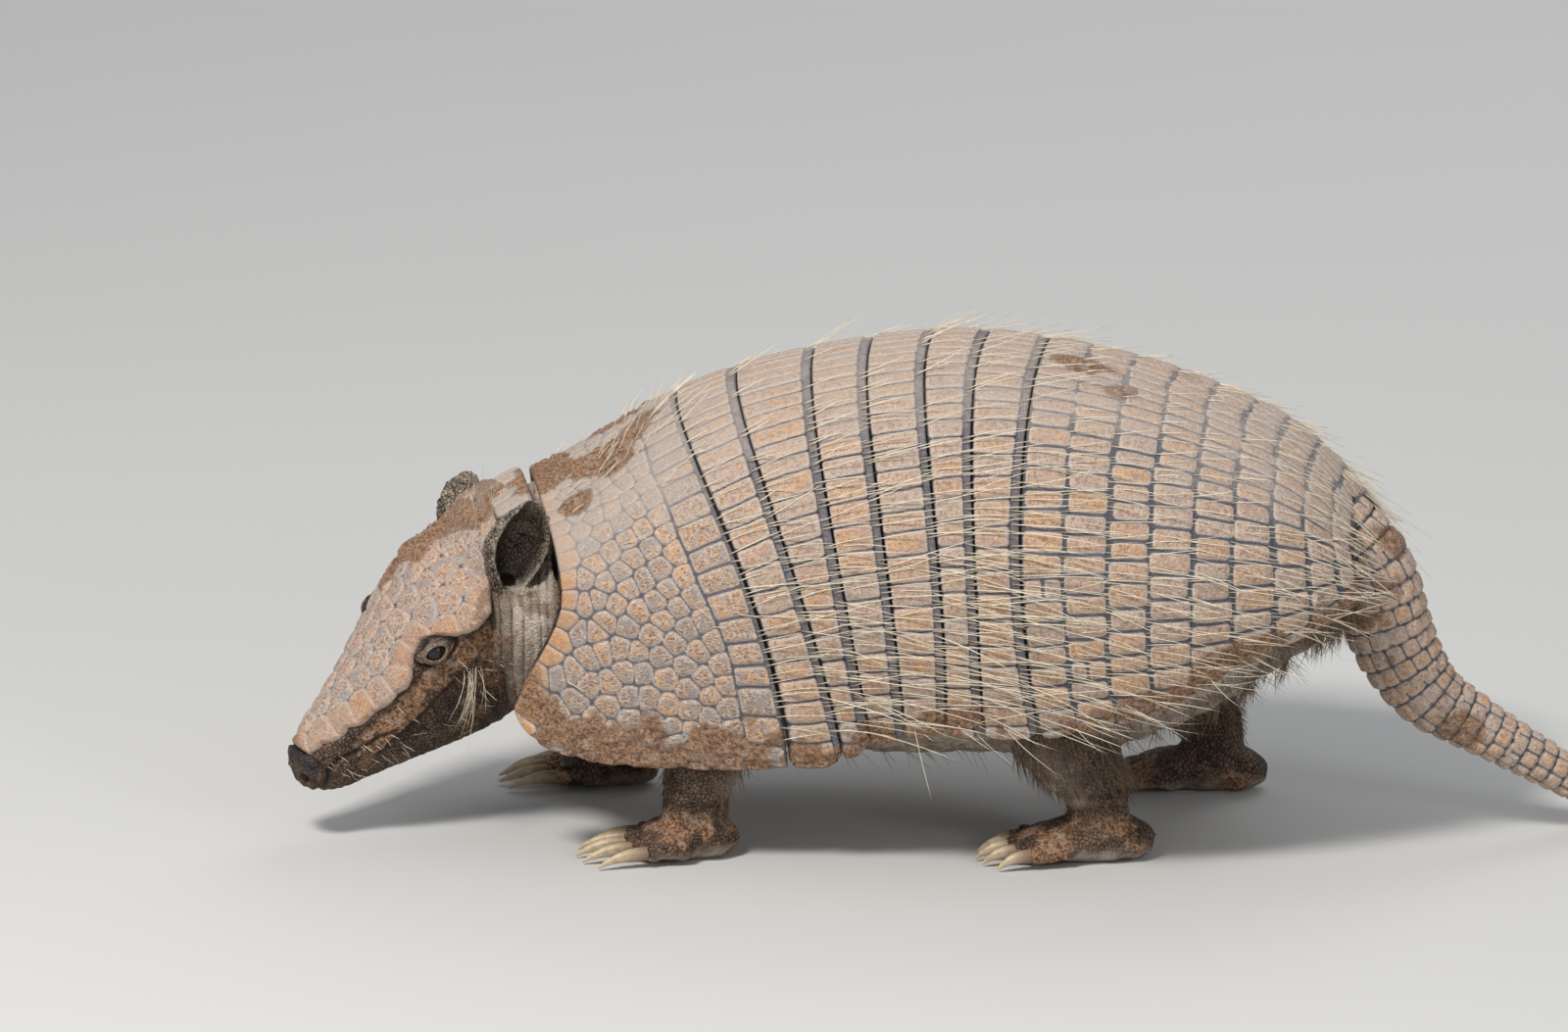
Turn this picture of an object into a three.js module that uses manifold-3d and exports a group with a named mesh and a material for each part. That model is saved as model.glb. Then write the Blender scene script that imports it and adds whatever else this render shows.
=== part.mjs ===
// A six-banded armadillo as a life-size still model, walking with its nose down to the ground.
// Millimetres, +Z up. The head points towards -X, the animal's left side is -Y, and the feet and tail stand
// on z = 0.
// The body is measured along its back by a station s, the x of that place on the back.
import * as THREE from "three";
import { mergeVertices } from "three/addons/utils/BufferGeometryUtils.js";
import Module from "manifold-3d";

const wasm = await Module();
wasm.setup();

// ---------- driving dimensions ----------
const SHELL = 3; // thickness of the armour
const GAP = 0.4; // clearance between neighbouring solids
const SQUARENESS = 2.25; // superellipse exponent of the body's section
const EDGE_REACH = 0.5; // share of the section's lower curve that the armour covers
const DEPTH = 130; // depth below the back at which a section's lean is stated
const COLUMNS = 20; // facets across the armour
const BELLY_COLUMNS = 6; // facets across the rest of the body's section

// Stations where the armour divides: neck band, front edge, grooves between the six bands, rear edge.
const NECK_BAND = [-163, -149];
const SHELL_FRONT = -146;
const GROOVES = [-94, -72, -44, -23, -1, 19, 41];
const SHELL_REAR = 156;
const TRUNK_ENDS = [-143, 155];

// Seen from above, the body bends to its left in front of BEND_END, and runs along x at BEND_PIVOT.
const BEND_PIVOT = -68;
const BEND_END = 20;
const BEND_RATE = 0.00128; // radians of turn for each millimetre

// The head: the place of its shield's back edge, how it is turned, in degrees, and the length to the nose.
const HEAD = { at: [-162, -6, 127], yaw: 20, pitch: 51, roll: 4, length: 128, shieldEnd: 119 };
const EYE = { along: 60.2, side: 28, up: -6.6, radius: 5 };

// Ears as leaves curled round an axis from root to tip, open on one side.
const EAR_WIDTH = 23;
const EAR_WALL = 1.6;
const EARS = {
  left: { root: [-154, -39.5, 92.5], tip: [-146, -49, 131], open: [0.42, -0.88, 0.1] },
  right: { root: [-179.5, 25, 92], tip: [-170, 46.5, 118], open: [-0.75, 0.45, -0.45] },
};

// Legs: hip or shoulder, knee or elbow, ankle or wrist, each with its radius, and the foot's heading in
// degrees.
const ANKLE = 21; // height where a leg meets its foot
const LEGS = {
  front_left: {
    joints: [[-92, -46, 84], [-80, -54, 54], [-86, -54, 25]],
    radii: [25, 18, 12.5],
    heading: 186,
  },
  front_right: {
    joints: [[-98, 42, 84], [-100, 50, 54], [-116, 50, 25]],
    radii: [25, 18, 12.5],
    heading: 172,
  },
  hind_left: { joints: [[78, -50, 84], [48, -60, 57], [60, -58, 25]], radii: [31, 24, 12], heading: 186 },
  hind_right: { joints: [[102, 34, 84], [82, 45, 57], [104, 43, 25]], radii: [31, 24, 12], heading: 174 },
};
const FORE_FOOT = { heel: -9, ball: 19, width: 14.5, toe: 11, claw: 18, spread: 6.6, stagger: 1.6 };
const HIND_FOOT = { heel: -15, ball: 25, width: 13.5, toe: 11, claw: 12, spread: 6.2, stagger: 1.5 };

// The tail from root to tip: centre and radius. It parts at these shares of its length.
const TAIL = [
  [[146, -19, 118], 15], [[160, -20.5, 100], 17], [[170, -21, 72], 16], [[182, -21.5, 53.5], 13.5],
  [[200, -21, 41], 10.8],
  [[223, -18.5, 27], 8.8], [[242, -14, 15.5], 7.8], [[262, -8, 7.6], 7], [[284, -1, 5.9], 5.8],
  [[302, 6, 4.2], 4.2], [[312, 11, 2.6], 2.4],
];
const TAIL_CUTS = [0, 0.33, 0.53, 0.74, 1];

// ---------- functions of one variable ----------
const rad = (degrees) => (degrees * Math.PI) / 180;
const lerp = (a, b, t) => a + (b - a) * t;
const signedPower = (value, power) => Math.sign(value) * Math.abs(value) ** power;
const range = (count) => Array.from({ length: count }, (_, i) => i);
const vector = (point) => new THREE.Vector3(...point);

// A smooth curve through [x, y] stations: a cubic Hermite with each slope taken from the neighbours.
function through(stations) {
  const last = stations.length - 1;
  const slope = (i) => {
    const [a, b] = [stations[Math.max(i - 1, 0)], stations[Math.min(i + 1, last)]];
    return (b[1] - a[1]) / (b[0] - a[0]);
  };
  return (x) => {
    if (x <= stations[0][0]) return stations[0][1];
    if (x >= stations[last][0]) return stations[last][1];
    const i = stations.findIndex((station) => station[0] > x) - 1;
    const [x0, y0] = stations[i];
    const [x1, y1] = stations[i + 1];
    const span = x1 - x0;
    const t = (x - x0) / span;
    const u = 1 - t;
    const bend = span * t * u * (slope(i) * u - slope(i + 1) * t);
    return y0 * (1 + 2 * t) * u * u + y1 * (3 - 2 * t) * t * t + bend;
  };
}

// The body along its back.
const backHeight = through([
  [-170, 118], [-163, 123.5], [-156, 128], [-150, 130.5], [-145, 130.5], [-138, 133.3], [-124, 141],
  [-108, 151], [-92, 160], [-60, 171.5], [0, 182], [40, 180], [80, 171.5], [120, 156], [134, 147.2],
  [146, 136], [156, 123], [160, 117],
]);
const halfWidth = through([
  [-170, 48], [-146, 65], [-110, 79], [-60, 88], [0, 92], [60, 93], [100, 87], [130, 73], [150, 56],
  [160, 44],
]);
const widestHeight = through([[-170, 90], [-110, 90], [0, 94], [80, 99], [120, 106], [160, 109]]);
const edgeHeight = through([
  [-164, 84], [-150, 63], [-146, 57], [-141, 49.5], [-134, 42], [-120, 37], [-90, 37.5], [-72, 41], [-46, 47],
  [-10, 52], [42, 53], [80, 60], [102, 69], [120, 81], [140, 90], [160, 101],
]);
const bellyHeight = through([
  [-150, 48], [-120, 36], [-60, 31], [60, 35], [90, 44], [110, 54], [130, 70], [160, 92],
]);
const lean = through([
  [-170, -45], [-146, -45], [-94, 40], [-72, 40], [-44, 25], [-23, 18], [-1, 13], [19, 9], [41, 8],
  [110, 2], [160, 8],
]);
const bow = through([
  [-170, 84], [-146, 84], [-94, 33], [-72, 16], [-44, 4], [-23, 10], [-1, 16], [19, 6], [41, -12], [110, 0],
  [160, 30],
]);

// How far the shell's lower half reaches forward at the shoulders.
const jut = through([[-148, 8.5], [-140, 7.5], [-128, 3.5], [-112, 0]]);

// The head along its axis, from the shield's back edge at 0 to the nose. Heights are from that axis.
const crown = through([
  [-4, -2], [8, 1.5], [22, 4.5], [36, 7], [48, 7], [62, 5.5], [80, 4.2], [98, 3.6], [112, 3.2],
  [121, 1.6], [125, -1.4], [128, -5],
]);
const shieldWidth = through([
  [-4, 9], [0, 15], [5, 19], [15, 22.5], [24, 26], [30, 34], [36, 40], [42, 40], [50, 37], [57, 34],
  [64, 31.5], [78, 26.5], [92, 20], [104, 14.5], [113, 10.5], [119, 7],
]);
const shieldDrop = through([
  [-4, 3], [10, 6], [30, 13.5], [40, 16.5], [48, 15.5], [57, 12.8], [70, 11.7], [92, 10.6], [106, 8],
  [119, 5],
]);
// The share of that width that the shield keeps, with a bay in its margin over the eye.
const shieldReach = through([[44, 1], [51, 0.98], [54, 0.88], [58, 0.8], [66, 0.8], [72, 0.93], [78, 1]]);
const skullWidth = through([
  [1, 12], [8, 20], [20, 27], [36, 33.5], [50, 32.5], [62, 29], [76, 24], [92, 18.5], [106, 13.5],
  [116, 10.8], [122, 9.4], [128, 7],
]);
const jawHeight = through([
  [1, -16], [8, -30], [18, -46], [32, -58], [46, -62], [60, -60], [74, -54], [90, -44], [102, -36],
  [112, -29.5], [119, -25], [124, -20], [128, -13],
]);

// ---------- meshes and solids ----------
function solidOf(geometry) {
  geometry.deleteAttribute("normal");
  geometry.deleteAttribute("uv");
  const merged = mergeVertices(geometry, 1e-3);
  const triVerts = new Uint32Array(merged.index.array);
  const make = () =>
    new wasm.Manifold(
      new wasm.Mesh({ numProp: 3, vertProperties: merged.attributes.position.array, triVerts }),
    );
  if (make().volume() > 0) return make();
  for (let i = 0; i < triVerts.length; i += 3) {
    [triVerts[i + 1], triVerts[i + 2]] = [triVerts[i + 2], triVerts[i + 1]];
  }
  return make();
}

function geometryOf(solid) {
  const mesh = solid.decompose().reduce((a, b) => (a.volume() > b.volume() ? a : b)).getMesh();
  const geometry = new THREE.BufferGeometry();
  geometry.setAttribute("position", new THREE.BufferAttribute(new Float32Array(mesh.vertProperties), 3));
  geometry.setIndex(new THREE.BufferAttribute(new Uint32Array(mesh.triVerts), 1));
  return geometry;
}

function moveVertices(geometry, place) {
  const { position } = geometry.attributes;
  const at = new THREE.Vector3();
  for (const i of range(position.count)) {
    const moved = place(at.fromBufferAttribute(position, i));
    position.setXYZ(i, moved.x, moved.y, moved.z);
  }
  return geometry;
}

// A closed body through rings: ring(t, share) is the point at t along it and share round it, both 0 to 1.
function loft(sides, steps, ring) {
  const centre = (t) =>
    range(sides).reduce((sum, k) => sum.addScaledVector(ring(t, k / sides), 1 / sides), vector([0, 0, 0]));
  const cylinder = new THREE.CylinderGeometry(1, 1, 1, sides, steps);
  const place = ({ x, y, z }) => {
    const onAxis = Math.hypot(x, z) < 0.5;
    const share = Math.round(((Math.atan2(x, z) / (2 * Math.PI) + 1) % 1) * sides) % sides;
    return onAxis ? centre(y + 0.5) : ring(y + 0.5, share / sides);
  };
  return solidOf(moveVertices(cylinder, place));
}

// A curved plate: place(u, v, layer) is the point at u across and v along, both 0 to 1, with layer 1
// outside and 0 inside.
function plate(columns, rows, place) {
  const slab = new THREE.BoxGeometry(1, 1, 1, columns, 1, rows);
  return solidOf(moveVertices(slab, ({ x, y, z }) => place(x + 0.5, z + 0.5, y + 0.5)));
}

// A rounded limb along a smooth path. Each stop is [centre, half width, half height].
function limb(stops, sides, steps, from = 0, to = 1) {
  const path = new THREE.CatmullRomCurve3(stops.map(([centre]) => vector(centre)), false, "centripetal");
  const sizes = (size) => through(stops.map((stop, i) => [i / (stops.length - 1), stop[size]]));
  const [width, height] = [1, 2].map(sizes);
  return loft(sides, steps, (t, share) => {
    const at = lerp(from, to, t);
    const along = path.getTangent(at);
    const across = vector([0, 1, 0]).addScaledVector(along, -along.y).normalize();
    const over = vector([0, 0, 0]).crossVectors(across, along);
    const angle = share * 2 * Math.PI;
    const point = path.getPoint(at).addScaledVector(across, Math.cos(angle) * width(at));
    return point.addScaledVector(over, Math.sin(angle) * height(at));
  });
}

// The space above or below a height.
function heights(low, high) {
  const room = 1000;
  return solidOf(new THREE.BoxGeometry(room, room, high - low).translate(0, 0, (low + high) / 2));
}

const minus = (solid, ...cutters) => cutters.reduce((rest, cutter) => rest.subtract(cutter), solid);

// ---------- the body's surface ----------
const turnAt = (s) => -BEND_RATE * (Math.min(s, BEND_END) - BEND_PIVOT);
function sideOfBack(s) {
  const bent = Math.min(s, BEND_END) - BEND_PIVOT;
  return (-BEND_RATE * bent * bent) / 2 - Math.max(s - BEND_END, 0) * BEND_RATE * (BEND_END - BEND_PIVOT);
}

// The point of the section at station s: angle 0 is the back and pi the belly, with reach the depth of its
// lower half.
function bodyPoint(s, angle, inset, reach) {
  const power = 2 / SQUARENESS;
  const across = signedPower(Math.sin(angle), power) * (halfWidth(s) - inset);
  const rise = signedPower(Math.cos(angle), power);
  const z = widestHeight(s) + rise * (rise > 0 ? backHeight(s) - inset - widestHeight(s) : reach);
  const depth = (backHeight(s) - z) / DEPTH;
  const low = THREE.MathUtils.smoothstep(depth, 0.22, 0.5);
  const x = s + lean(s) * depth + bow(s) * depth * (1 - depth) - jut(s) * low;
  return vector([x + across * Math.sin(turnAt(s)), sideOfBack(s) - across * Math.cos(turnAt(s)), z]);
}

const EDGE_ANGLE = Math.acos(-(EDGE_REACH ** (SQUARENESS / 2)));

function shellStrip(from, to, columns, rows, grow = 0) {
  return plate(columns, rows, (u, v, layer) => {
    const s = lerp(from - grow, to + grow, v);
    const angle = (2 * u - 1) * EDGE_ANGLE * (1 + grow / 100);
    return bodyPoint(s, angle, layer ? -grow : SHELL + grow, (widestHeight(s) - edgeHeight(s)) / EDGE_REACH);
  });
}

// The trunk keeps the armour's facets where it lies under it, and its ends are rounded.
function trunkSolid(grow = 0) {
  const sides = COLUMNS + BELLY_COLUMNS;
  const [front, rear] = TRUNK_ENDS;
  return loft(sides, 13, (t, share) => {
    const s = lerp(front, rear, t);
    const k = share * sides;
    const half = COLUMNS / 2;
    const belly = (k - half) / BELLY_COLUMNS;
    const shoulder = (k <= half ? k : k - sides) / half;
    const covered = k <= half || k >= half + BELLY_COLUMNS;
    const angle = covered ? shoulder * EDGE_ANGLE : lerp(EDGE_ANGLE, 2 * Math.PI - EDGE_ANGLE, belly);
    const nearEnd = Math.max(0, (s - rear) / 19 + 1, (front - s) / 19 + 1);
    const fullness = Math.sqrt(1.15 - nearEnd ** 3) / Math.sqrt(1.15);
    const reach = widestHeight(s) - bellyHeight(s) + grow;
    const point = bodyPoint(s, angle, SHELL + GAP + 0.3 - grow, reach);
    const middle = vector([s, sideOfBack(s), lerp(bellyHeight(s), backHeight(s), 0.5)]);
    const outward = t < 0.01 ? -grow : t > 0.99 ? grow : 0;
    return middle.lerp(point, fullness + grow / 50).add(vector([outward, 0, 0]));
  });
}

// ---------- the head ----------
const headPlace = new THREE.Matrix4()
  .makeRotationZ(rad(180 + HEAD.yaw))
  .multiply(new THREE.Matrix4().makeRotationY(rad(HEAD.pitch)))
  .multiply(new THREE.Matrix4().makeRotationX(rad(-HEAD.roll)))
  .setPosition(vector(HEAD.at));
const headPoint = (along, side, up) => vector([along, side, up]).applyMatrix4(headPlace);

function headSolid(grow = 0) {
  return loft(14, 12, (t, share) => {
    const along = lerp(1 - grow, HEAD.length + grow, t);
    const angle = share * 2 * Math.PI;
    const level = crown(along) - shieldDrop(along) - 3;
    const rise = signedPower(Math.cos(angle), 0.92);
    const reach = rise > 0 ? crown(along) - 1 - level : level - jawHeight(along);
    const side = signedPower(Math.sin(angle), 0.92) * (skullWidth(along) + grow);
    return headPoint(along, side, level + rise * (reach + grow));
  });
}

function headShieldSolid(grow = 0) {
  return plate(8, 13, (u, v, layer) => {
    const along = lerp(-4 - grow, HEAD.shieldEnd + grow, v);
    const share = (2 * u - 1) * shieldReach(along);
    const side = share * (shieldWidth(along) + grow + (layer ? 0.6 : 0));
    const depth = layer ? -grow : SHELL + grow;
    return headPoint(along, side, crown(along) - shieldDrop(along) * share * share - depth);
  });
}

function eyeSolid(side, grow = 0) {
  const { x, y, z } = headPoint(EYE.along, side * EYE.side, EYE.up);
  return solidOf(new THREE.SphereGeometry(EYE.radius + grow, 8, 6).translate(x, y, z));
}

const earProfile = through([
  [0, 0.42], [0.12, 0.62], [0.4, 0.98], [0.62, 1], [0.82, 0.8], [0.94, 0.5], [1, 0.32],
]);
const earCurl = through([[0, 155], [0.3, 122], [0.7, 95], [1, 62]]);

function earSolid({ root, tip, open }, grow = 0) {
  const axis = vector(tip).sub(vector(root));
  const length = axis.length();
  axis.normalize();
  const outward = vector(open).addScaledVector(axis, -vector(open).dot(axis)).normalize();
  const across = vector([0, 0, 0]).crossVectors(axis, outward);
  return plate(8, 6, (u, v, layer) => {
    const t = lerp(-grow / length, 1 + grow / length, v);
    const curl = rad(earCurl(t));
    const radius = (EAR_WIDTH / 2) * earProfile(t) / Math.sin(Math.min(curl, Math.PI / 2));
    const angle = (2 * u - 1) * (curl + grow / radius);
    const r = radius + (layer ? grow : -EAR_WALL - grow);
    const back = Math.cos(curl) * radius - Math.cos(angle) * r;
    return vector(root)
      .addScaledVector(axis, length * t)
      .addScaledVector(across, Math.sin(angle) * r)
      .addScaledVector(outward, back);
  });
}

// The room that an ear's hollow keeps clear in the neck and its band.
function earRoom({ root, tip, open }) {
  const outward = vector(open).normalize();
  const clear = (end, share) => {
    const other = vector(end === root ? tip : root);
    return vector(end).lerp(other, share).addScaledVector(outward, 2).toArray();
  };
  return limb([
    [clear(root, 0), 4, 4], [clear(root, 0.5), 13.5, 13.5],
    [clear(tip, 0.15), 12, 12], [clear(tip, -0.1), 7, 7],
  ], 8, 5);
}

// ---------- neck, legs and tail ----------
function neckSolid() {
  const [rear, front] = [TRUNK_ENDS[0] - GAP, -172];
  return loft(14, 4, (t, share) => {
    const x = lerp(rear, front, t);
    const top = lerp(backHeight(x) - SHELL - GAP - 1.2, 106, t ** 3);
    const bottom = lerp(48, 60, t);
    const wide = lerp(50, 27, t ** 1.6);
    const angle = share * 2 * Math.PI;
    const z = (top + bottom) / 2 + (signedPower(Math.cos(angle), 0.92) * (top - bottom)) / 2;
    const across = signedPower(Math.sin(angle), 0.92) * wide;
    return vector([x + across * 0.12, sideOfBack(x) - across, z]);
  });
}

function legSolid({ joints, radii }) {
  const ankle = joints[2];
  const stops = joints.map((joint, i) => [joint, radii[i] * (i < 2 ? 0.82 : 1), radii[i]]);
  return limb([...stops, [[ankle[0], ankle[1], ANKLE - 11], radii[2], radii[2]]], 12, 8);
}

// Places on a foot: forward along its heading, side to the left of it, and height.
function footFrame({ joints, heading }) {
  const [x, y] = joints[2];
  const turn = rad(heading);
  return (forward, side, z) => [
    x + Math.cos(turn) * forward - Math.sin(turn) * side,
    y + Math.sin(turn) * forward + Math.cos(turn) * side,
    z,
  ];
}

function toeFrame(leg, foot, toe) {
  const place = footFrame(leg);
  const out = toe - 2;
  const start = foot.ball - 4 - out * out * foot.stagger;
  return (forward, z) => place(start + forward, out * (foot.spread + forward * 0.09), z);
}

function footSolid(leg, foot) {
  const place = footFrame(leg);
  const shank = limb([
    [place(1, 0, ANKLE + 6), 12, 12], [place(0, 0, 12), 12, 12], [place(-1, 0, 4), 10, 10],
  ], 8, 1);
  const { heel, ball, width } = foot;
  const sole = limb([
    [place(heel - 6, 0, 5), 4, 3.5], [place(heel, 0, 7), 10, 8.5], [place(0, 0, 8.5), 12.5, 10],
    [place(ball * 0.7, 0, 7), width, 7.5], [place(ball, 0, 5), width, 6],
    [place(ball + 2, 0, 4.5), width * 0.72, 4],
  ], 8, 5);
  const toes = range(5).map((toe) => {
    const at = toeFrame(leg, foot, toe);
    return limb([
      [at(-4, 6), 3.6, 4], [at(foot.toe * 0.5, 6), 3.6, 4.2], [at(foot.toe, 5.4), 2.9, 3.4],
    ], 5, 2);
  });
  return toes.reduce((whole, toe) => whole.add(toe), shank.add(sole)).intersect(heights(0, ANKLE - GAP / 2));
}

function clawSolid(leg, foot, toe) {
  const at = toeFrame(leg, foot, toe);
  const { toe: start, claw } = foot;
  return limb([
    [at(start + GAP, 5.3), 2.3, 2.8], [at(start + claw * 0.45, 4.9), 1.9, 2.3],
    [at(start + claw * 0.8, 3), 1.1, 1.3], [at(start + claw, 1.3), 0.5, 0.6],
  ], 5, 3);
}

function tailSolid(from, to) {
  const steps = Math.round((to - from) * 24);
  return limb(TAIL.map(([centre, radius]) => [centre, radius, radius]), 10, steps, from, to);
}

// ---------- materials ----------
const finish = (color, roughness) => new THREE.MeshStandardMaterial({ color, roughness, metalness: 0 });
const PLATE = finish(0xb98d66, 0.8);
const SKIN = finish(0x6b4f3d, 0.9);
const EAR_SKIN = finish(0x7d664f, 0.9);
const EYE_SURFACE = finish(0x0d0a08, 0.15);
const CLAW = finish(0xa38f70, 0.5);

// ---------- assembly ----------
const model = new THREE.Group();
function put(name, solid, material) {
  const mesh = new THREE.Mesh(geometryOf(solid), material);
  mesh.name = name;
  model.add(mesh);
}

const cutter = {
  armour: shellStrip(SHELL_FRONT, SHELL_REAR, COLUMNS, 24, GAP),
  neckBand: shellStrip(...NECK_BAND, 12, 2, GAP),
  trunk: trunkSolid(GAP),
  head: headSolid(GAP),
  headShield: headShieldSolid(2 * GAP).add(headShieldSolid()),
  ears: Object.values(EARS).map((ear) => earSolid(ear, GAP)),
  earRooms: Object.values(EARS).map(earRoom),
  eyes: [1, -1].map((side) => eyeSolid(side, GAP)),
};

function buildArmour() {
  const half = GAP / 2;
  const shoulders = shellStrip(SHELL_FRONT, GROOVES[0] - half, COLUMNS, 5);
  put("scapular_shield", minus(shoulders, ...cutter.ears), PLATE);
  for (const i of range(GROOVES.length - 1)) {
    put(`band_${i + 1}`, shellStrip(GROOVES[i] + half, GROOVES[i + 1] - half, COLUMNS, 1), PLATE);
  }
  put("pelvic_shield", shellStrip(GROOVES.at(-1) + half, SHELL_REAR, COLUMNS, 9), PLATE);
  const nape = shellStrip(...NECK_BAND, 12, 2);
  put("neck_band", minus(nape, cutter.headShield, cutter.head, ...cutter.ears, ...cutter.earRooms), PLATE);
  put("head_shield", minus(headShieldSolid(), ...cutter.eyes, ...cutter.ears), PLATE);
}

function buildHead() {
  const beside = [cutter.headShield, cutter.trunk, cutter.armour, ...cutter.ears, ...cutter.eyes];
  put("head", minus(headSolid(), ...beside), SKIN);
  const around = [cutter.head, cutter.headShield, cutter.neckBand, cutter.armour, cutter.trunk];
  put("neck", minus(neckSolid(), ...around, ...cutter.ears, ...cutter.earRooms), SKIN);
  for (const [name, side] of [["left", 1], ["right", -1]]) {
    put(`ear_${name}`, earSolid(EARS[name]), EAR_SKIN);
    put(`eye_${name}`, eyeSolid(side), EYE_SURFACE);
  }
}

function buildBody() {
  put("trunk", trunkSolid(), SKIN);
  for (const [name, leg] of Object.entries(LEGS)) {
    const foot = name.startsWith("front") ? FORE_FOOT : HIND_FOOT;
    const limbAbove = legSolid(leg).intersect(heights(ANKLE + GAP / 2, 200));
    put(`leg_${name}`, minus(limbAbove, cutter.trunk, cutter.armour), SKIN);
    put(`foot_${name}`, footSolid(leg, foot), SKIN);
    for (const toe of range(5)) put(`claw_${name}_${toe + 1}`, clawSolid(leg, foot, toe), CLAW);
  }
}

function buildTail() {
  const gap = GAP / 250; // the clearance as a share of the tail's length
  for (const i of range(TAIL_CUTS.length - 1)) {
    const length = tailSolid(TAIL_CUTS[i] + (i && gap), TAIL_CUTS[i + 1] - gap);
    put(`tail_${i + 1}`, minus(length.intersect(heights(0, 200)), cutter.trunk, cutter.armour), PLATE);
  }
}

buildArmour();
buildHead();
buildBody();
buildTail();

// The origin lies on the floor under the middle of the model's box.
const middle = new THREE.Box3().setFromObject(model).getCenter(vector([0, 0, 0]));
model.position.set(-middle.x, -middle.y, 0);
const armadillo = new THREE.Group();
armadillo.add(model);

export default armadillo;
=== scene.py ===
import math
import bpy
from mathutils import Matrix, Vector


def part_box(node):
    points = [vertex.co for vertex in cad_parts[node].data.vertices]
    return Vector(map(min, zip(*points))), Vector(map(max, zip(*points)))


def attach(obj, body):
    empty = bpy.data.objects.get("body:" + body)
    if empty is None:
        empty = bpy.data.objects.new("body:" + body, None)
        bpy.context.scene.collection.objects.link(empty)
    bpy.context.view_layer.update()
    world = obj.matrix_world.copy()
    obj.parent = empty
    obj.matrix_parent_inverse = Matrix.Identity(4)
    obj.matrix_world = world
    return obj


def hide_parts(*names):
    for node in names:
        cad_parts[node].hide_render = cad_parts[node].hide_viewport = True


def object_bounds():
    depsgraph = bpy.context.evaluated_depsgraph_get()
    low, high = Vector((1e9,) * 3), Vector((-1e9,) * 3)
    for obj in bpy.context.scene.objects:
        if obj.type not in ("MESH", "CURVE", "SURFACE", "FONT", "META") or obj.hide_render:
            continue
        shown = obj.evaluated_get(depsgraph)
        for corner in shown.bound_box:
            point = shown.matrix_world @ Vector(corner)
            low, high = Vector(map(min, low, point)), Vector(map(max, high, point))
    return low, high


bl_info = {
    "name": "Yellow armadillo",
    "version": (1, 0, 0),
    "blender": (4, 5, 0),
    "location": "View3D > Sidebar > Armadillo",
    "description": "Models a life-size armadillo over its solids, with shell, skin, bristles and stage",
    "category": "Add Mesh",
}

import bmesh
import bpy
import numpy as np
from bpy.props import FloatProperty, FloatVectorProperty, PointerProperty
from mathutils import Matrix, Vector
from mathutils.bvhtree import BVHTree
from mathutils.kdtree import KDTree

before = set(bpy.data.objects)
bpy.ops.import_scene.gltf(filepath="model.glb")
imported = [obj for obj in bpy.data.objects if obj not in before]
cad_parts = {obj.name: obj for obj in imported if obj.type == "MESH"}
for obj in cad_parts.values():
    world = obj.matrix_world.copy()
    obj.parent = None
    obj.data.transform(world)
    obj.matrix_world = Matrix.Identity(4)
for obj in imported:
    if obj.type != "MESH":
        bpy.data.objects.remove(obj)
CAD_BOX = [list(corner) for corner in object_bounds()]

# ---------------------------------------------------------------- measures of the solids, in millimetres

SHELL = 3.0  # thickness of the armour
GAP = 0.4  # clearance between neighbouring solids
SQUARENESS = 2.25  # superellipse exponent of the body's section
EDGE_REACH = 0.5  # share of the section's lower curve that the armour covers
DEPTH = 130.0  # depth below the back at which a section's lean is stated

# Stations where the armour divides: neck band, front edge, grooves between the six bands, rear edge.
NECK_BAND = (-163.0, -149.0)
SHELL_FRONT = -146.0
GROOVES = (-94.0, -72.0, -44.0, -23.0, -1.0, 19.0, 41.0)
SHELL_REAR = 156.0
PELVIC_ROWS = (41.0, 57.0, 73.0, 88.0, 102.5, 116.0, 128.5, 139.5, 149.0, 156.0)
TRUNK_ENDS = (-143.0, 155.0)
NECK_ENDS = (-143.4, -172.0)

# Seen from above, the body bends to its left in front of BEND_END, and runs along x at BEND_PIVOT.
BEND_PIVOT, BEND_END, BEND_RATE = -68.0, 20.0, 0.00128

# The head: the place of its shield's back edge, how it is turned, in degrees, and the length to the nose.
HEAD = {"at": (-162, -6, 127), "yaw": 20, "pitch": 51, "roll": 4, "length": 128, "shield_end": 119}
EYE = {"along": 60.2, "side": 28.0, "up": -6.6, "radius": 5.0}
EARS = {
    "left": {"root": (-154, -39.5, 92.5), "tip": (-146, -49, 131), "open": (0.42, -0.88, 0.1)},
    "right": {"root": (-179.5, 25, 92), "tip": (-170, 46.5, 118), "open": (-0.75, 0.45, -0.45)},
}
EAR_WIDTH, EAR_WALL = 23.0, 1.6
FAR = 9.0  # a distance from the eye's middle or its lids past all that is painted there

# Legs: hip or shoulder, knee or elbow, ankle or wrist; the radius at each; the foot's heading in degrees.
LEGS = {
    "front_left": ([(-92, -46, 84), (-80, -54, 54), (-86, -54, 25)], (25, 18, 12.5), 186),
    "front_right": ([(-98, 42, 84), (-100, 50, 54), (-116, 50, 25)], (25, 18, 12.5), 172),
    "hind_left": ([(78, -50, 84), (48, -60, 57), (60, -58, 25)], (31, 24, 12), 186),
    "hind_right": ([(102, 34, 84), (82, 45, 57), (104, 43, 25)], (31, 24, 12), 174),
}
FORE_FOOT = {"heel": -9, "ball": 19, "width": 14.5, "toe": 11, "claw": 18, "spread": 6.6, "stagger": 1.6}
HIND_FOOT = {"heel": -15, "ball": 25, "width": 13.5, "toe": 11, "claw": 12, "spread": 6.2, "stagger": 1.5}

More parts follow.
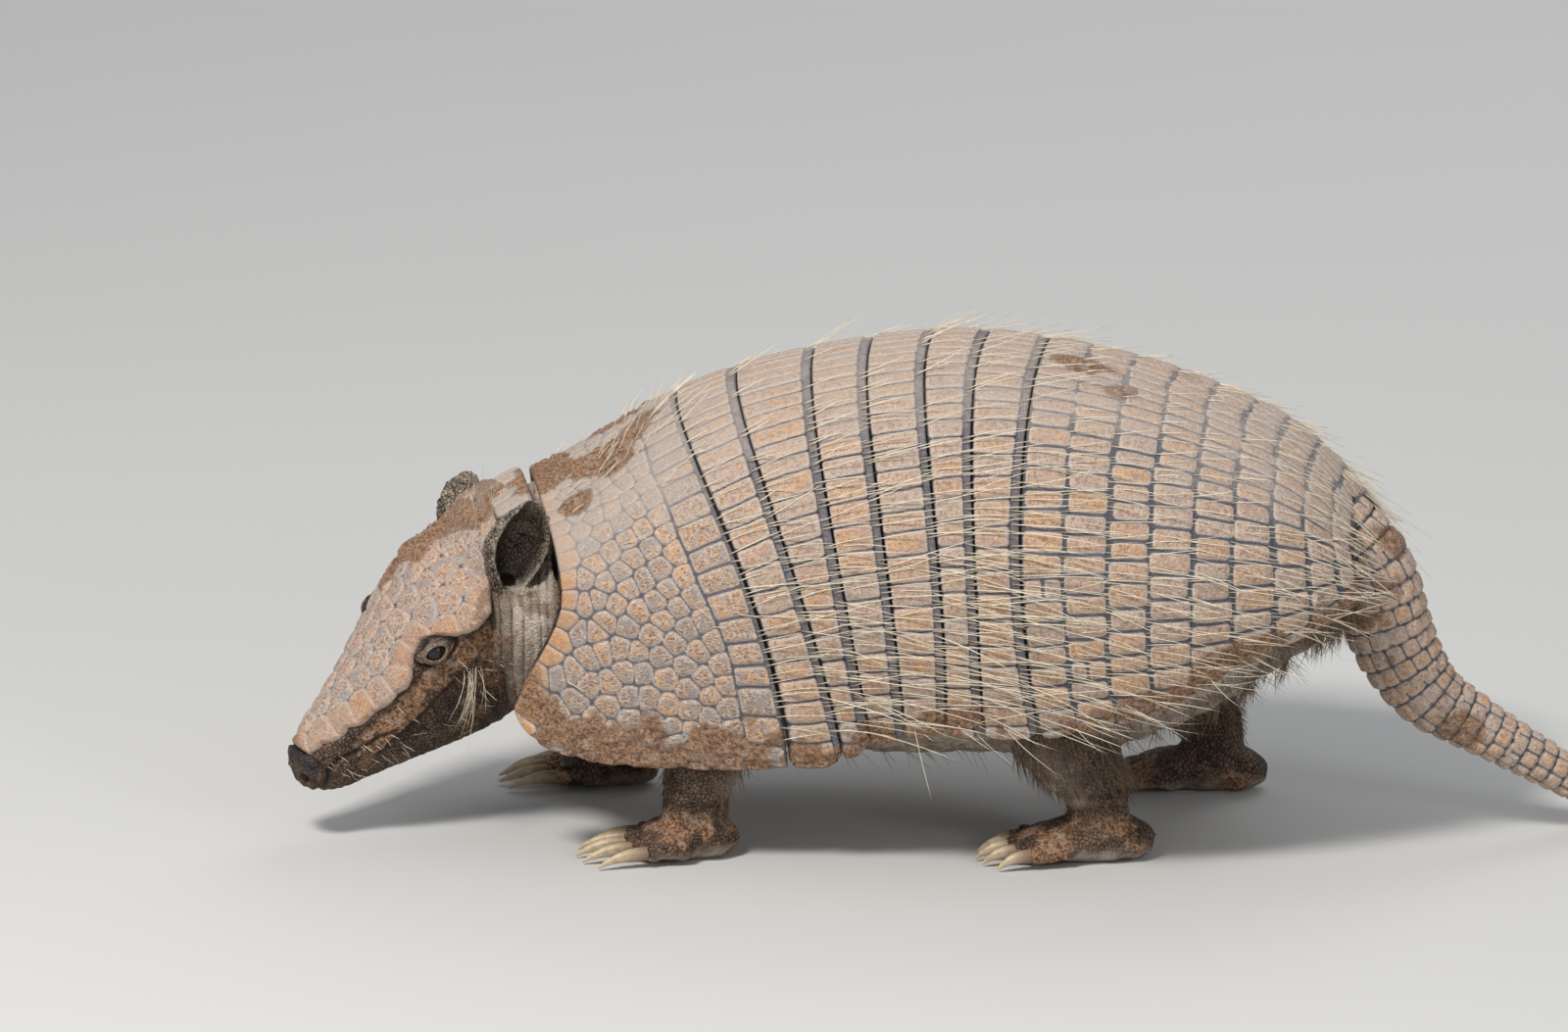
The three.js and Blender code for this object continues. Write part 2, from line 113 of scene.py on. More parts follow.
# The tail from root to tip: centre and radius.
TAIL = [
    ((146, -19, 118), 15), ((160, -20.5, 100), 17), ((170, -21, 72), 16), ((182, -21.5, 53.5), 13.5),
    ((200, -21, 41), 10.8), ((223, -18.5, 27), 8.8), ((242, -14, 15.5), 7.8), ((262, -8, 7.6), 7),
    ((284, -1, 5.9), 5.8), ((302, 6, 4.2), 4.2), ((312, 11, 2.6), 2.4),
]


def through(*stations):
    """A smooth curve through (station, height) pairs, level beyond both ends."""
    x, y = np.array(stations, float).T
    slope = np.empty_like(y)
    slope[1:-1] = (y[2:] - y[:-2]) / (x[2:] - x[:-2])
    slope[0], slope[-1] = (y[1] - y[0]) / (x[1] - x[0]), (y[-1] - y[-2]) / (x[-1] - x[-2])

    def at(s):
        s = np.clip(np.asarray(s, float), x[0], x[-1])
        i = np.clip(np.searchsorted(x, s, side="right") - 1, 0, len(x) - 2)
        wide = x[i + 1] - x[i]
        t = (s - x[i]) / wide
        near = (2 * t**3 - 3 * t**2 + 1) * y[i] + (t**3 - 2 * t**2 + t) * wide * slope[i]
        return near + (3 * t**2 - 2 * t**3) * y[i + 1] + (t**3 - t**2) * wide * slope[i + 1]

    return at


# The body along its back.
back_height = through(
    (-170, 118), (-163, 123.5), (-156, 128), (-150, 130.5), (-145, 130.5), (-138, 133.3), (-124, 141),
    (-108, 151), (-92, 160), (-60, 171.5), (0, 182), (40, 180), (80, 171.5), (120, 156), (134, 147.2),
    (146, 136), (156, 123), (160, 117),
)
half_width = through(
    (-170, 48), (-146, 65), (-110, 79), (-60, 88), (0, 92), (60, 93), (100, 87), (130, 73), (150, 56),
    (160, 44),
)
widest_height = through((-170, 90), (-110, 90), (0, 94), (80, 99), (120, 106), (160, 109))
edge_height = through(
    (-164, 84), (-150, 63), (-146, 57), (-141, 49.5), (-134, 42), (-120, 37), (-90, 37.5), (-72, 41),
    (-46, 47), (-10, 52), (42, 53), (80, 60), (102, 69), (120, 81), (140, 90), (160, 101),
)
belly_height = through((-150, 48), (-120, 36), (-60, 31), (60, 35), (90, 44), (110, 54), (130, 70), (160, 92))
lean = through(
    (-170, -45), (-146, -45), (-94, 40), (-72, 40), (-44, 25), (-23, 18), (-1, 13), (19, 9), (41, 8),
    (110, 2), (160, 8),
)
bow = through(
    (-170, 84), (-146, 84), (-94, 33), (-72, 16), (-44, 4), (-23, 10), (-1, 16), (19, 6), (41, -12),
    (110, 0), (160, 30),
)
jut = through((-148, 8.5), (-140, 7.5), (-128, 3.5), (-112, 0))

# The head along its axis, from the shield's back edge at 0 to the nose. Heights are from that axis.
crown = through(
    (-4, -2), (8, 1.5), (22, 4.5), (36, 7), (48, 7), (62, 5.5), (80, 4.2), (98, 3.6), (112, 3.2),
    (121, 1.6), (125, -1.4), (128, -5),
)
shield_width = through(
    (-4, 9), (0, 15), (5, 19), (15, 22.5), (24, 26), (30, 34), (36, 40), (42, 40), (50, 37), (57, 34),
    (64, 31.5), (78, 26.5), (92, 20), (104, 14.5), (113, 10.5), (119, 7),
)
shield_drop = through(
    (-4, 3), (10, 6), (30, 13.5), (40, 16.5), (48, 15.5), (57, 12.8), (70, 11.7), (92, 10.6), (106, 8),
    (119, 5),
)
shield_reach = through((44, 1), (51, 0.98), (54, 0.88), (58, 0.8), (66, 0.8), (72, 0.93), (78, 1))
skull_width = through(
    (1, 12), (8, 20), (20, 27), (36, 33.5), (50, 32.5), (62, 29), (76, 24), (92, 18.5), (106, 13.5),
    (116, 10.8), (122, 9.4), (128, 7),
)
jaw_height = through(
    (1, -16), (8, -30), (18, -46), (32, -58), (46, -62), (60, -60), (74, -54), (90, -44), (102, -36),
    (112, -29.5), (119, -25), (124, -20), (128, -13),
)

EDGE_ANGLE = math.acos(-(EDGE_REACH ** (SQUARENESS / 2)))


def spow(value, power):
    """A power that keeps the sign."""
    return np.sign(value) * np.abs(value) ** power


def lerp(a, b, t):
    return a + (b - a) * t


def smooth(value, low, high):
    """0 below low, 1 above high, and an S between them."""
    t = np.clip((value - low) / (high - low), 0, 1)
    return t * t * (3 - 2 * t)


def unit(vectors):
    return vectors / np.maximum(np.linalg.norm(vectors, axis=-1, keepdims=True), 1e-9)


def turn_at(s):
    return -BEND_RATE * (np.minimum(s, BEND_END) - BEND_PIVOT)


def side_of_back(s):
    bent = np.minimum(s, BEND_END) - BEND_PIVOT
    return -BEND_RATE * bent * bent / 2 - np.maximum(s - BEND_END, 0) * BEND_RATE * (BEND_END - BEND_PIVOT)


def body_section(s, angle, inset, reach):
    """The body's section at station s: angle 0 is the back, positive on the animal's left."""
    power = 2 / SQUARENESS
    back, widest = back_height(s), widest_height(s)
    across = spow(np.sin(angle), power) * (half_width(s) - inset)
    rise = spow(np.cos(angle), power)
    z = widest + rise * np.where(rise > 0, back - inset - widest, reach)
    depth = (back - z) / DEPTH
    x = s + lean(s) * depth + bow(s) * depth * (1 - depth) - jut(s) * smooth(depth, 0.22, 0.5)
    turn = turn_at(s)
    return np.stack([x + across * np.sin(turn), side_of_back(s) - across * np.cos(turn), z], -1)


def shell_point(s, angle, inset=0.0):
    return body_section(s, angle, inset, (widest_height(s) - edge_height(s)) / EDGE_REACH)


def trunk_point(s, angle, inset=0.0):
    """The flesh under the shell, with rounded ends."""
    front, rear = TRUNK_ENDS
    near_end = np.maximum(0, np.maximum((s - rear) / 19 + 1, (front - s) / 19 + 1))
    fullness = np.sqrt(np.maximum(1.15 - near_end**3, 0)) / math.sqrt(1.15)
    flesh = SHELL + GAP + 0.3 + inset
    whole = body_section(s, angle, flesh, widest_height(s) - belly_height(s))
    middle = np.stack([s, side_of_back(s), (belly_height(s) + back_height(s)) / 2], -1)
    return lerp(middle, whole, fullness[..., None])


def shell_frames(s, angle):
    """Points of the shell with their outward normals and backward directions."""
    along = shell_point(s + 0.05, angle) - shell_point(s - 0.05, angle)
    round_ = shell_point(s, angle + 0.001) - shell_point(s, angle - 0.001)
    return shell_point(s, angle), unit(np.cross(round_, along)), unit(along)


def head_matrix():
    turn = Matrix.Rotation(math.radians(180 + HEAD["yaw"]), 4, "Z")
    tip = Matrix.Rotation(math.radians(HEAD["pitch"]), 4, "Y")
    roll = Matrix.Rotation(math.radians(-HEAD["roll"]), 4, "X")
    return np.array(Matrix.Translation(HEAD["at"]) @ turn @ tip @ roll)


HEAD_PLACE = head_matrix()


def head_point(along, side, up):
    """A place from the head's own axes, in millimetres."""
    local = np.stack(np.broadcast_arrays(along, side, up), -1)
    return local @ HEAD_PLACE[:3, :3].T + HEAD_PLACE[:3, 3]


def head_local(points):
    """Along, side and up of points, from the head's own axes."""
    return (points - HEAD_PLACE[:3, 3]) @ HEAD_PLACE[:3, :3]


def eye_centre(side):
    return head_point(EYE["along"], side * EYE["side"], EYE["up"])


def frame_shift():
    """What carries the tables' millimetres to the frame: found from where the left eye's solid stands."""
    low, high = (np.array(corner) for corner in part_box("eye_left"))
    return (low + high) / 2 * 1000 - eye_centre(1)


SHIFT = frame_shift()
SHIFT[2] = 0.0


def to_frame(points):
    """Millimetres of the measures as metres of the frame."""
    return (np.asarray(points) + SHIFT) / 1000


def random(*seed):
    return np.random.default_rng(seed)


def noise(points, size, seed=0, octaves=1):
    """Smooth noise between about -1 and 1, from a lattice of the given size."""
    total, weight = 0.0, 1.0
    for octave in range(octaves):
        q = np.asarray(points, float) / (size / 2**octave) + 131.7 + 17.3 * seed + 5.1 * octave
        cell = np.floor(q).astype(np.int64)
        t = q - cell
        t = t * t * (3 - 2 * t)
        value = 0.0
        for corner in range(1 << q.shape[-1]):
            share, number = 1.0, np.full(q.shape[:-1], seed * 7919 + octave * 104729, np.int64)
            for axis in range(q.shape[-1]):
                step = corner >> axis & 1
                share = share * (t[..., axis] if step else 1 - t[..., axis])
                number = (number ^ (cell[..., axis] + step)) * 0x9E3779B1 & 0xFFFFFFFF
                number = (number ^ number >> 15) * 0x85EBCA6B & 0xFFFFFFFF
            value = value + share * ((number ^ number >> 13) & 0xFFFF) / 32767.5
        total, weight = total + weight * (value - 1), weight * 0.5
    return total


# ---------------------------------------------------------------- sizes and colours that a user would change


def paint(red, green, blue):
    """A screen colour, 0 to 255, as the linear colour that a material takes."""
    tones = (red, green, blue)
    return tuple(c / 255 / 12.92 if c <= 10 else ((c / 255 + 0.055) / 1.055) ** 2.4 for c in tones)


def colour(name, description, *rgb):
    settings = {"subtype": "COLOR", "size": 3, "min": 0, "max": 1, "default": paint(*rgb)}
    return FloatVectorProperty(name=name, description=description, **settings)


def length(name, description, metres):
    settings = {"default": metres, "min": 0, "unit": "LENGTH", "precision": 5}
    return FloatProperty(name=name, description=description, **settings)


class ArmadilloSizes(bpy.types.PropertyGroup):
    """Sizes of the surface detail; the body's own sizes come from its solids."""

    band_scute: length("Band scute width", "Mean width of a scute on the moving bands", 0.0088)
    shoulder_scute: length("Shoulder scute pitch", "Distance between scutes on the shoulder shield", 0.0083)
    pelvic_scute: length("Pelvic scute width", "Mean width of a scute on the pelvic shield", 0.0084)
    head_scute: length("Head scute pitch", "Distance between scutes on the head shield", 0.0098)
    strip: length("Leathery strip", "Width of the leathery strip behind each band's scutes", 0.0030)
    relief: length("Scute relief", "Depth of the grooves between scutes", 0.0007)
    bristle: length("Bristle length", "Mean length of a bristle on the bands", 0.027)
    bristle_thickness: length("Bristle thickness", "Thickness of a bristle at its root", 0.00048)
    skin_cell: length("Skin cell", "Size of the skin's faces on the head", 0.00085)


class ArmadilloColours(bpy.types.PropertyGroup):
    """Colours of the finishes."""

    scute_tan: colour("Scute tan", "Main colour of the scutes", 190, 164, 143)
    scute_orange: colour("Scute orange", "Warmest colour of the scutes", 208, 154, 98)
    scute_pink: colour("Scute pink", "Greyish pink of streaks and mottles", 168, 148, 142)
    scute_brown: colour("Scute brown", "Reddish brown of the mottles", 134, 98, 78)
    scute_pale: colour("Scute rim", "Pale ring inside a scute's edge", 208, 197, 187)
    groove_grey: colour("Groove grey", "Leathery skin in the grooves", 106, 107, 114)
    # Painted shade: this black, laid deep in the scutes' grooves and along the plates' rims, stands for the
    # shadow in those gaps; it is also the dark between the nose pad's granules.
    black_and_groove_shade: colour("Groove black", "Deepest line of a groove", 30, 26, 27)
    dust: colour("Dust", "Pale dust over the back", 190, 179, 170)
    soil: colour("Soil", "Dry reddish soil", 178, 138, 105)
    soil_dark: colour("Damp soil", "Darker crumbs of soil", 98, 66, 46)
    skin_brown: colour("Skin brown", "Dirty brown skin of face and throat", 128, 104, 84)
    # Painted shade: this dark is laid in the creases, folds and round the lids; it is also the dark tone
    # between the hide's pebbles and at the fur's roots.
    skin_dark_and_shade: colour("Skin dark", "Creases of the skin", 40, 30, 25)
    skin_grey: colour("Skin grey", "Bare grey skin of neck and belly", 202, 191, 180)
    ear_grey: colour("Ear", "Outside of the ears", 190, 173, 152)
    ear_rim: colour("Ear rim", "Pale beaded rim of the ears", 206, 198, 178)
    head_tan: colour("Head tan", "Main colour of the head shield", 158, 132, 110)
    head_orange: colour("Head orange", "Warmer scutes of the head shield", 196, 143, 102)
    head_grey: colour("Head grey", "Bluish grey blotches of head and shoulders", 152, 149, 150)
    # Painted shade: the dark laid in the ears' cups and in the hollow behind them, weaker on the rear inner
    # wall, which light reaches.
    ear_inside_shade: colour("Ear inside", "Dark inside of the ears", 46, 34, 29)
    nose: colour("Nose", "Nose pad", 70, 63, 60)
    claw: colour("Claw", "Horn of the claws", 196, 176, 146)
    claw_root: colour("Claw root", "Claws near the toes", 122, 98, 78)
    bristle: colour("Bristle", "Cream bristles", 240, 229, 206)
    fur: colour("Fur", "Short fur of legs and belly", 142, 118, 96)
    eye: colour("Eye", "Dark brown iris", 34, 20, 12)
    floor: colour("Floor", "Plain studio floor", 206, 206, 204)


def sizes():
    return bpy.context.scene.armadillo_sizes


def colours():
    return bpy.context.scene.armadillo_colours


def rgba(name):
    return (*getattr(colours(), name), 1.0)


# ---------------------------------------------------------------- meshes


def shade_smooth(mesh):
    mesh.polygons.foreach_set("use_smooth", np.ones(len(mesh.polygons), bool))


def material(name):
    return bpy.data.materials[name]


def new_object(name, bm, finish):
    """A smooth object in the scene from a bmesh, which is freed."""
    mesh = bpy.data.meshes.new(name)
    bm.to_mesh(mesh)
    bm.free()
    made = bpy.data.objects.new(name, mesh)
    bpy.context.scene.collection.objects.link(made)
    mesh.materials.append(finish)
    shade_smooth(mesh)
    return made


def read(items, name, wide=1, kind=float):
    """One value of every item, as an array, in rows where each is several numbers wide."""
    found = np.empty(len(items) * wide, kind)
    items.foreach_get(name, found)
    return found.reshape(-1, wide) if wide > 1 else found


def places(mesh):
    return read(mesh.vertices, "co", 3)


def put_places(mesh, points):
    mesh.vertices.foreach_set("co", np.ascontiguousarray(points, dtype=np.float32).ravel())
    mesh.update()


def put_values(mesh, **named):
    for name, values in named.items():
        layer = mesh.attributes.new(name, "FLOAT", "POINT")
        layer.data.foreach_set("value", np.ascontiguousarray(values, dtype=np.float32))


def put_map(mesh, name, per_vertex):
    """A UV map from one pair per vertex."""
    corners = read(mesh.loops, "vertex_index", kind=int)
    layer = mesh.uv_layers.new(name=name)
    layer.data.foreach_set("uv", np.ascontiguousarray(per_vertex[corners], dtype=np.float32).ravel())


def slab(columns, rows, cuts):
    """A closed slab on a grid: the top at z 1 is cut finer, the bottom at z 0 stays coarse."""
    bm = bmesh.new()
    bmesh.ops.create_grid(bm, x_segments=columns, y_segments=rows, size=0.5)
    bottom = list(bm.faces)
    grown = bmesh.ops.extrude_face_region(bm, geom=bottom, use_keep_orig=True)["geom"]
    top = [item for item in grown if isinstance(item, bmesh.types.BMVert)]
    bmesh.ops.translate(bm, vec=(0, 0, 1), verts=top)
    edges = {edge for item in grown if isinstance(item, bmesh.types.BMFace) for edge in item.edges}
    bmesh.ops.subdivide_edges(bm, edges=list(edges), cuts=cuts, use_grid_fill=True)
    bmesh.ops.recalc_face_normals(bm, faces=bm.faces)
    return bm


def bring_outward(bm):
    """Turns a closed shell's faces outward, whatever the mapping did to them."""
    if bm.calc_volume(signed=True) < 0:
        bmesh.ops.reverse_faces(bm, faces=bm.faces)


def finish_outward(mesh):
    bm = bmesh.new()
    bm.from_mesh(mesh)
    bring_outward(bm)
    bm.to_mesh(mesh)
    bm.free()


# ---------------------------------------------------------------- scutes


WIDTH_SPREAD = 0.16  # how far a scute's width strays from its row's mean
RIM_FADE = 1.2  # distance over which the relief comes up from a plate's rim
REAR_FILE = 16.5  # length of the shoulder shield's last row, of long scutes
FRONT_FILE = 3.6  # from its front edge to the middle of its first file, of small ones
MEAN_STRETCH = 1.35  # how much longer that shield is, on the whole, than its stations say

# Numbers of scutes: so many for each row of the shell, and where those from seeds and the tail's begin.
PER_ROW = 1000
FIRST_ROW = {"shoulder": 200, "pelvic": 300, "nape": 400, "band": 500}
FIRST_SEED, FIRST_OF_TAIL = 30000, 35000


def inward(dx, dy, radius):
    """Distance in from the edge of a rectangle with rounded corners."""
    qx, qy = radius - dx, radius - dy
    return np.where((qx > 0) & (qy > 0), radius - np.hypot(qx, qy), np.minimum(dx, dy))


def station_table(s):
    """At one station: angles, the distance round the shell, the shear of a square groove, and its spacing."""
    angles = np.linspace(-EDGE_ANGLE * 1.02, EDGE_ANGLE * 1.02, 801)
    here = shell_point(np.full_like(angles, s), angles)
    arc = np.concatenate([[0], np.cumsum(np.linalg.norm(np.diff(here, axis=0), axis=1))])
    arc -= np.interp(0, angles, arc)
    behind, ahead = (shell_point(np.full_like(angles, s + step), angles) for step in (0.5, -0.5))
    along = behind - ahead
    round_ = np.gradient(here, angles, axis=0)
    shear = (along * round_).sum(1) / np.maximum((round_ * round_).sum(1), 1e-6)
    square = np.linalg.norm(along - shear[:, None] * round_, axis=1)
    return angles, arc, shear, square


def row_marks(row, arc, width):
    """The side grooves of one row of scutes, as distances round the shell."""
    rng = random(11, row)
    marks = [arc[0] - width + rng.uniform(0, width)]
    while marks[-1] < arc[-1] + width:
        marks.append(marks[-1] + width * (1 + WIDTH_SPREAD * rng.uniform(-1, 1)))
    return np.array(marks)


def scute_rows(s, angle, lines, width, radius, strip=0.0, uneven=0.5, first=0):
    """Rows of scutes along the shell. Returns each point's distance in from its scute's edge, the scute's
    number, the distance past the scutes onto the strip, and the distance round the shell."""
    edge, number, past, distance = (np.zeros(len(s)) for _ in range(4))
    wobble = uneven * noise(np.stack([s * 0.2, angle * 60], -1), 14, 3)
    last = first + len(lines) - 2
    for row, (front, rear) in enumerate(zip(lines[:-1], lines[1:]), first):
        here = (s >= front) & (s < rear)
        if row == first:
            here |= s < front
        if row == last:
            here |= s >= rear
        if not here.any():
            continue
        middle = (front + rear) / 2
        angles, arc, shear, square = station_table(middle)
        at = angle[here]
        slid = at + (s[here] - middle) * np.interp(at, angles, shear)
        gone = np.interp(slid, angles, arc) + 0.25 * noise(np.stack([s[here], at * 40], -1), 5, 8)
        marks = row_marks(row, arc, width)
        scute = np.clip(np.searchsorted(marks, gone), 1, len(marks) - 1)
        sides = np.minimum(gone - marks[scute - 1], marks[scute] - gone)
        scale = np.interp(at, angles, square)
        rng = random(23, row)
        start, end = (rng.uniform(-1, 1, len(marks)) * uneven for _ in range(2))
        w = wobble[here]
        ahead = (s[here] - front - start[scute] * (row > first) - w) * scale
        behind = (rear - s[here] - end[scute] * (strip == 0) * (row < last) + w) * scale - strip
        edge[here] = inward(sides, np.minimum(ahead, behind), radius)
        number[here] = scute + PER_ROW * row
        past[here] = -behind
        distance[here] = gone
    return edge, number, past, distance


def scute_cells(points, seeds, soften=0.45):
    """Irregular scutes round seeds: distance in from the edge, and the scute's number."""
    edge, number = np.empty(len(points)), np.empty(len(points))
    batch = 20000
    for start in range(0, len(points), batch):
        part = points[start : start + batch]
        apart = ((part[:, None, :] - seeds[None]) ** 2).sum(2)
        near = np.argpartition(apart, 6, axis=1)[:, :7]
        ranked = np.take_along_axis(near, np.argsort(np.take_along_axis(apart, near, 1), axis=1), 1)
        own = ranked[:, :1]
        to_own = np.take_along_axis(apart, own, 1)
        others = ranked[:, 1:]
        gaps = np.linalg.norm(seeds[others] - seeds[own], axis=2)
        sides = (np.take_along_axis(apart, others, 1) - to_own) / (2 * gaps)
        edge[start : start + batch] = -soften * np.log(np.exp(-sides / soften).sum(1)) + soften * 0.6
        number[start : start + batch] = own[:, 0]
    return np.maximum(edge, 0), number


def per_scute(number, seed):
    """A random value, 0 to 1, that stays the same for each scute's number."""
    table = random(seed).random(40000)
    return table[number.astype(int) % len(table)]


def scute_height(edge, groove, depth, dome=0.35):
    """Height of a scute's face over its grooves."""
    sunk = -depth * (1 - smooth(edge, groove * 0.4, groove * 0.5 + 0.9))
    return sunk + dome * (1 - np.exp(-np.maximum(edge - groove / 2, 0) / 1.4))


def under_soil(height, soil, points, thick, seed):
    """Relief where soil lies on it: flatter, and heaped with lumps."""
    return height * (1 - 0.6 * soil) + soil * (thick + 1.1 * np.maximum(noise(points, 2.6, seed, 3), -0.4))


def carved(here, out, height, rim, radius):
    """A plate's face, lifted by its relief and rounded off to its rim."""
    drop = radius - np.sqrt(np.maximum(radius**2 - np.maximum(radius - rim, 0) ** 2, 0))
    fade = smooth(rim, 0, RIM_FADE)
    return here + out * (np.where(fade < 1, np.minimum(height, height * fade), height) - drop)[:, None]


def soil_cover(points, spots, seed):
    """How thickly soil lies: spots are ((x, y, z), reach, amount) in millimetres."""
    total = np.zeros(len(points))
    broken = noise(points, 16, seed, 3)
    for centre, reach, amount in spots:
        away = np.linalg.norm((points - centre) / np.array(reach), axis=1)
        total = np.maximum(total, amount * smooth(1.15 - away + 0.55 * broken, 0.0, 0.45))
    return total


# Where soil lies on the shell: place, reach each way and amount.
SOIL_SPOTS = [
    ((-141, -8, 135), (13, 30, 16), 1.0), ((-127, -18, 143), (16, 16, 14), 1.0),
    ((-131, -42, 132), (9, 9, 9), 0.9), ((-112, -6, 152), (14, 12, 8), 0.75),
    ((58, -22, 177), (13, 10, 7), 0.8), ((68, -40, 171), (9, 7, 6), 0.6),
    ((-120, 22, 146), (18, 14, 10), 0.7), ((96, 2, 168), (10, 8, 6), 0.4),
]


def band_relief(s, angle, points, lines):
    """One row of scutes and the leathery strip behind it."""
    relief, strip = sizes().relief * 1000, sizes().strip * 1000
    first = int(lines[0] + FIRST_ROW["band"])
    width = sizes().band_scute * 1000
    edge, number, past, distance = scute_rows(s, angle, lines, width, 1.5, strip, 0.35, first)
    leather = -relief - 0.25 * smooth(past, 0, 1.0) + 0.12 * noise(points, 1.2, 4, 2)
    height = np.where(past > 0, leather, scute_height(edge, 0.9, relief * 0.8))
    return height, edge, number, smooth(past, -0.3, 0.35), distance


def pelvic_relief(s, angle, points, lines):
    """Rows of scutes, a few of the lower front ones split in two."""
    width, first = sizes().pelvic_scute * 1000, FIRST_ROW["pelvic"]
    edge, number, _, distance = scute_rows(s, angle, lines, width, 2.3, 0, 0.8, first)
    chance = per_scute(number, 41)
    split = (chance > 0.93) & (s < 73) & (np.abs(angle) > 1.0)
    row = (number // PER_ROW).astype(int) - first
    front, rear = np.array(lines)[row], np.array(lines)[row + 1]
    cut = lerp(front, rear, 0.42 + 2.2 * (chance - 0.93))
    edge = np.where(split, inward(edge, np.abs(s - cut) * 0.95, 1.6), edge)
    number = np.where(split & (s > cut), number + 137, number)
    height = scute_height(edge, 1.3, sizes().relief * 1000 * 0.9)
    return height, edge, number, np.zeros(len(s)), distance


def shoulder_relief(s, angle, points, lines):
    """Irregular scutes round seeds, and one row of long ones behind them."""
    relief, width = sizes().relief * 1000, sizes().band_scute * 1000
    rear_row = (GROOVES[0] - 30, GROOVES[0])
    first = FIRST_ROW["shoulder"]
    edge, number, past, distance = scute_rows(s, angle, rear_row, width, 1.7, 1.6, 0.5, first)
    cell_edge, cell = scute_cells(points, shoulder_seeds(sizes().shoulder_scute * 1000))
    stretch = shoulder_stretch(angle)
    stray = 0.8 * noise(np.stack([s * 0, angle * 60], -1), 9, 5)
    to_row = (GROOVES[0] - REAR_FILE / stretch + stray / stretch - s) * stretch
    in_cells = to_row > 0
    edge = np.where(
        in_cells, inward(cell_edge, np.maximum(to_row, 0), 1.4),
        inward(np.maximum(edge, 0), np.maximum(-to_row, 0), 1.6),
    )
    number = np.where(in_cells, cell + FIRST_SEED, number)
    on_strip = np.where(in_cells, 0, smooth(past, -0.3, 0.35))
    height = np.where(in_cells | (past < 0), scute_height(edge, 1.0, relief * 0.85), -relief * 0.8)
    return height, edge, number, on_strip, distance


def nape_relief(s, angle, points, lines):
    """The narrow band behind the ears."""
    relief = sizes().relief * 1000
    first = FIRST_ROW["nape"]
    edge, number, past, distance = scute_rows(s, angle, lines, 8.2, 1.6, 1.2, 0.3, first)
    height = np.where(past > 0, -relief * 0.8, scute_height(edge, 1.0, relief * 0.7))
    return height, edge, number, smooth(past, -0.3, 0.35), distance


RELIEFS = {"band": band_relief, "pelvic": pelvic_relief, "shoulder": shoulder_relief, "nape": nape_relief}


def shell_relief(kind, s, angle, points, lines):
    """Height and surface values of the shell's plates at (s, angle), with soil and wear."""
    height, edge, number, on_strip, distance = RELIEFS[kind](s, angle, points, lines)
    front_seeds = (number >= FIRST_SEED) & (number < FIRST_SEED + shoulder_front_count())
    height += 0.22 * (per_scute(number, 5) - 0.5) + 0.10 * noise(points, 2.2, 9, 2) * (edge > 0.5)
    margin = edge_height(s)
    low = smooth(points[:, 2], margin + (30 if kind == "shoulder" else 20), margin + 4)
    # A crust of soil along the lower margin, darkened also as painted shadow of the bristles that hang over
    # it.
    crust_and_shade = smooth(low + 0.7 * noise(points, 9, 12, 3), 0.25, 0.95) * smooth(low, 0.0, 0.3)
    soil = np.maximum(soil_cover(points, SOIL_SPOTS, 31), 0.85 * crust_and_shade)
    height = under_soil(height, soil, points, 0.35, 13)
    up = smooth(points[:, 2], back_height(s) - 40, back_height(s) - 2)
    worn = 0.8 * smooth(up + 0.35 * noise(points, 18, 14, 2), 0.1, 1.1)
    if kind in ("shoulder", "nape"):
        worn = np.maximum(worn, 0.95 * smooth(up + 0.3 * noise(points, 14, 15, 2), 0.0, 0.9))
    worn = np.maximum(worn, 0.3 * low)
    height *= 1 - 0.25 * worn * (soil < 0.3)
    values = dict(edge=edge, tint=per_scute(number, 6), strip=on_strip, soil=soil, dust=worn)
    values["bright"] = front_seeds * 1.0
    return height, values, np.stack([s, distance], -1) / 100


def shoulder_stretch(angle):
    """How much longer the shoulder shield is at an angle than its stations say."""
    angles, _, _, square = station_table((SHELL_FRONT + GROOVES[0]) / 2)
    return np.interp(angle, angles, square)


def shoulder_front_count():
    """How many small scutes stand along the shoulder shield's front edge."""
    _, arc, _, _ = station_table(SHELL_FRONT + 3)
    return int((arc[-1] - arc[0]) / (sizes().shoulder_scute * 920)) + 1


def shoulder_seeds(pitch):
    """Where the shoulder shield's scutes stand: a front file of small ones, then offset files."""
    rng = random(77)
    angles, arc, _, square = station_table(SHELL_FRONT + 3)
    count = shoulder_front_count()
    at = np.interp(arc[0] + (np.arange(count) + 0.5) * pitch * 0.92, arc, angles)
    found = [np.stack([SHELL_FRONT + FRONT_FILE / np.interp(at, angles, square), at], -1)]
    for file in range(10):
        gone = REAR_FILE + pitch * (0.5 + 0.88 * file)
        station = GROOVES[0] - gone / MEAN_STRETCH
        angles, arc = station_table(max(station, SHELL_FRONT))[:2]
        count = int((arc[-1] - arc[0]) / pitch) + 1
        at = arc[0] + (np.arange(count) + 0.5 * (file % 2) + rng.uniform(-0.17, 0.17, count)) * pitch
        at = np.interp(at, arc, angles)
        station = GROOVES[0] - (gone + rng.uniform(-0.13, 0.13, count) * pitch) / shoulder_stretch(at)
        keep = (station - SHELL_FRONT) * shoulder_stretch(at) > FRONT_FILE + 0.72 * pitch
        found.append(np.stack([station, at], -1)[keep])
    both = np.concatenate(found)
    return shell_point(both[:, 0], both[:, 1])


def end_lobes(s, lines, depth):
    """How far the shell's lower margin draws back at station s, in rounded lobes that point backward."""
    lines = np.array(lines)
    row = np.clip(np.searchsorted(lines, s, side="right") - 1, 0, len(lines) - 2)
    t = np.clip((s - lines[row]) / (lines[row + 1] - lines[row]), 0, 1) ** 0.8
    return depth * (1 - np.sqrt(np.maximum(1 - np.abs(2 * t - 1) ** 2.6, 0)))


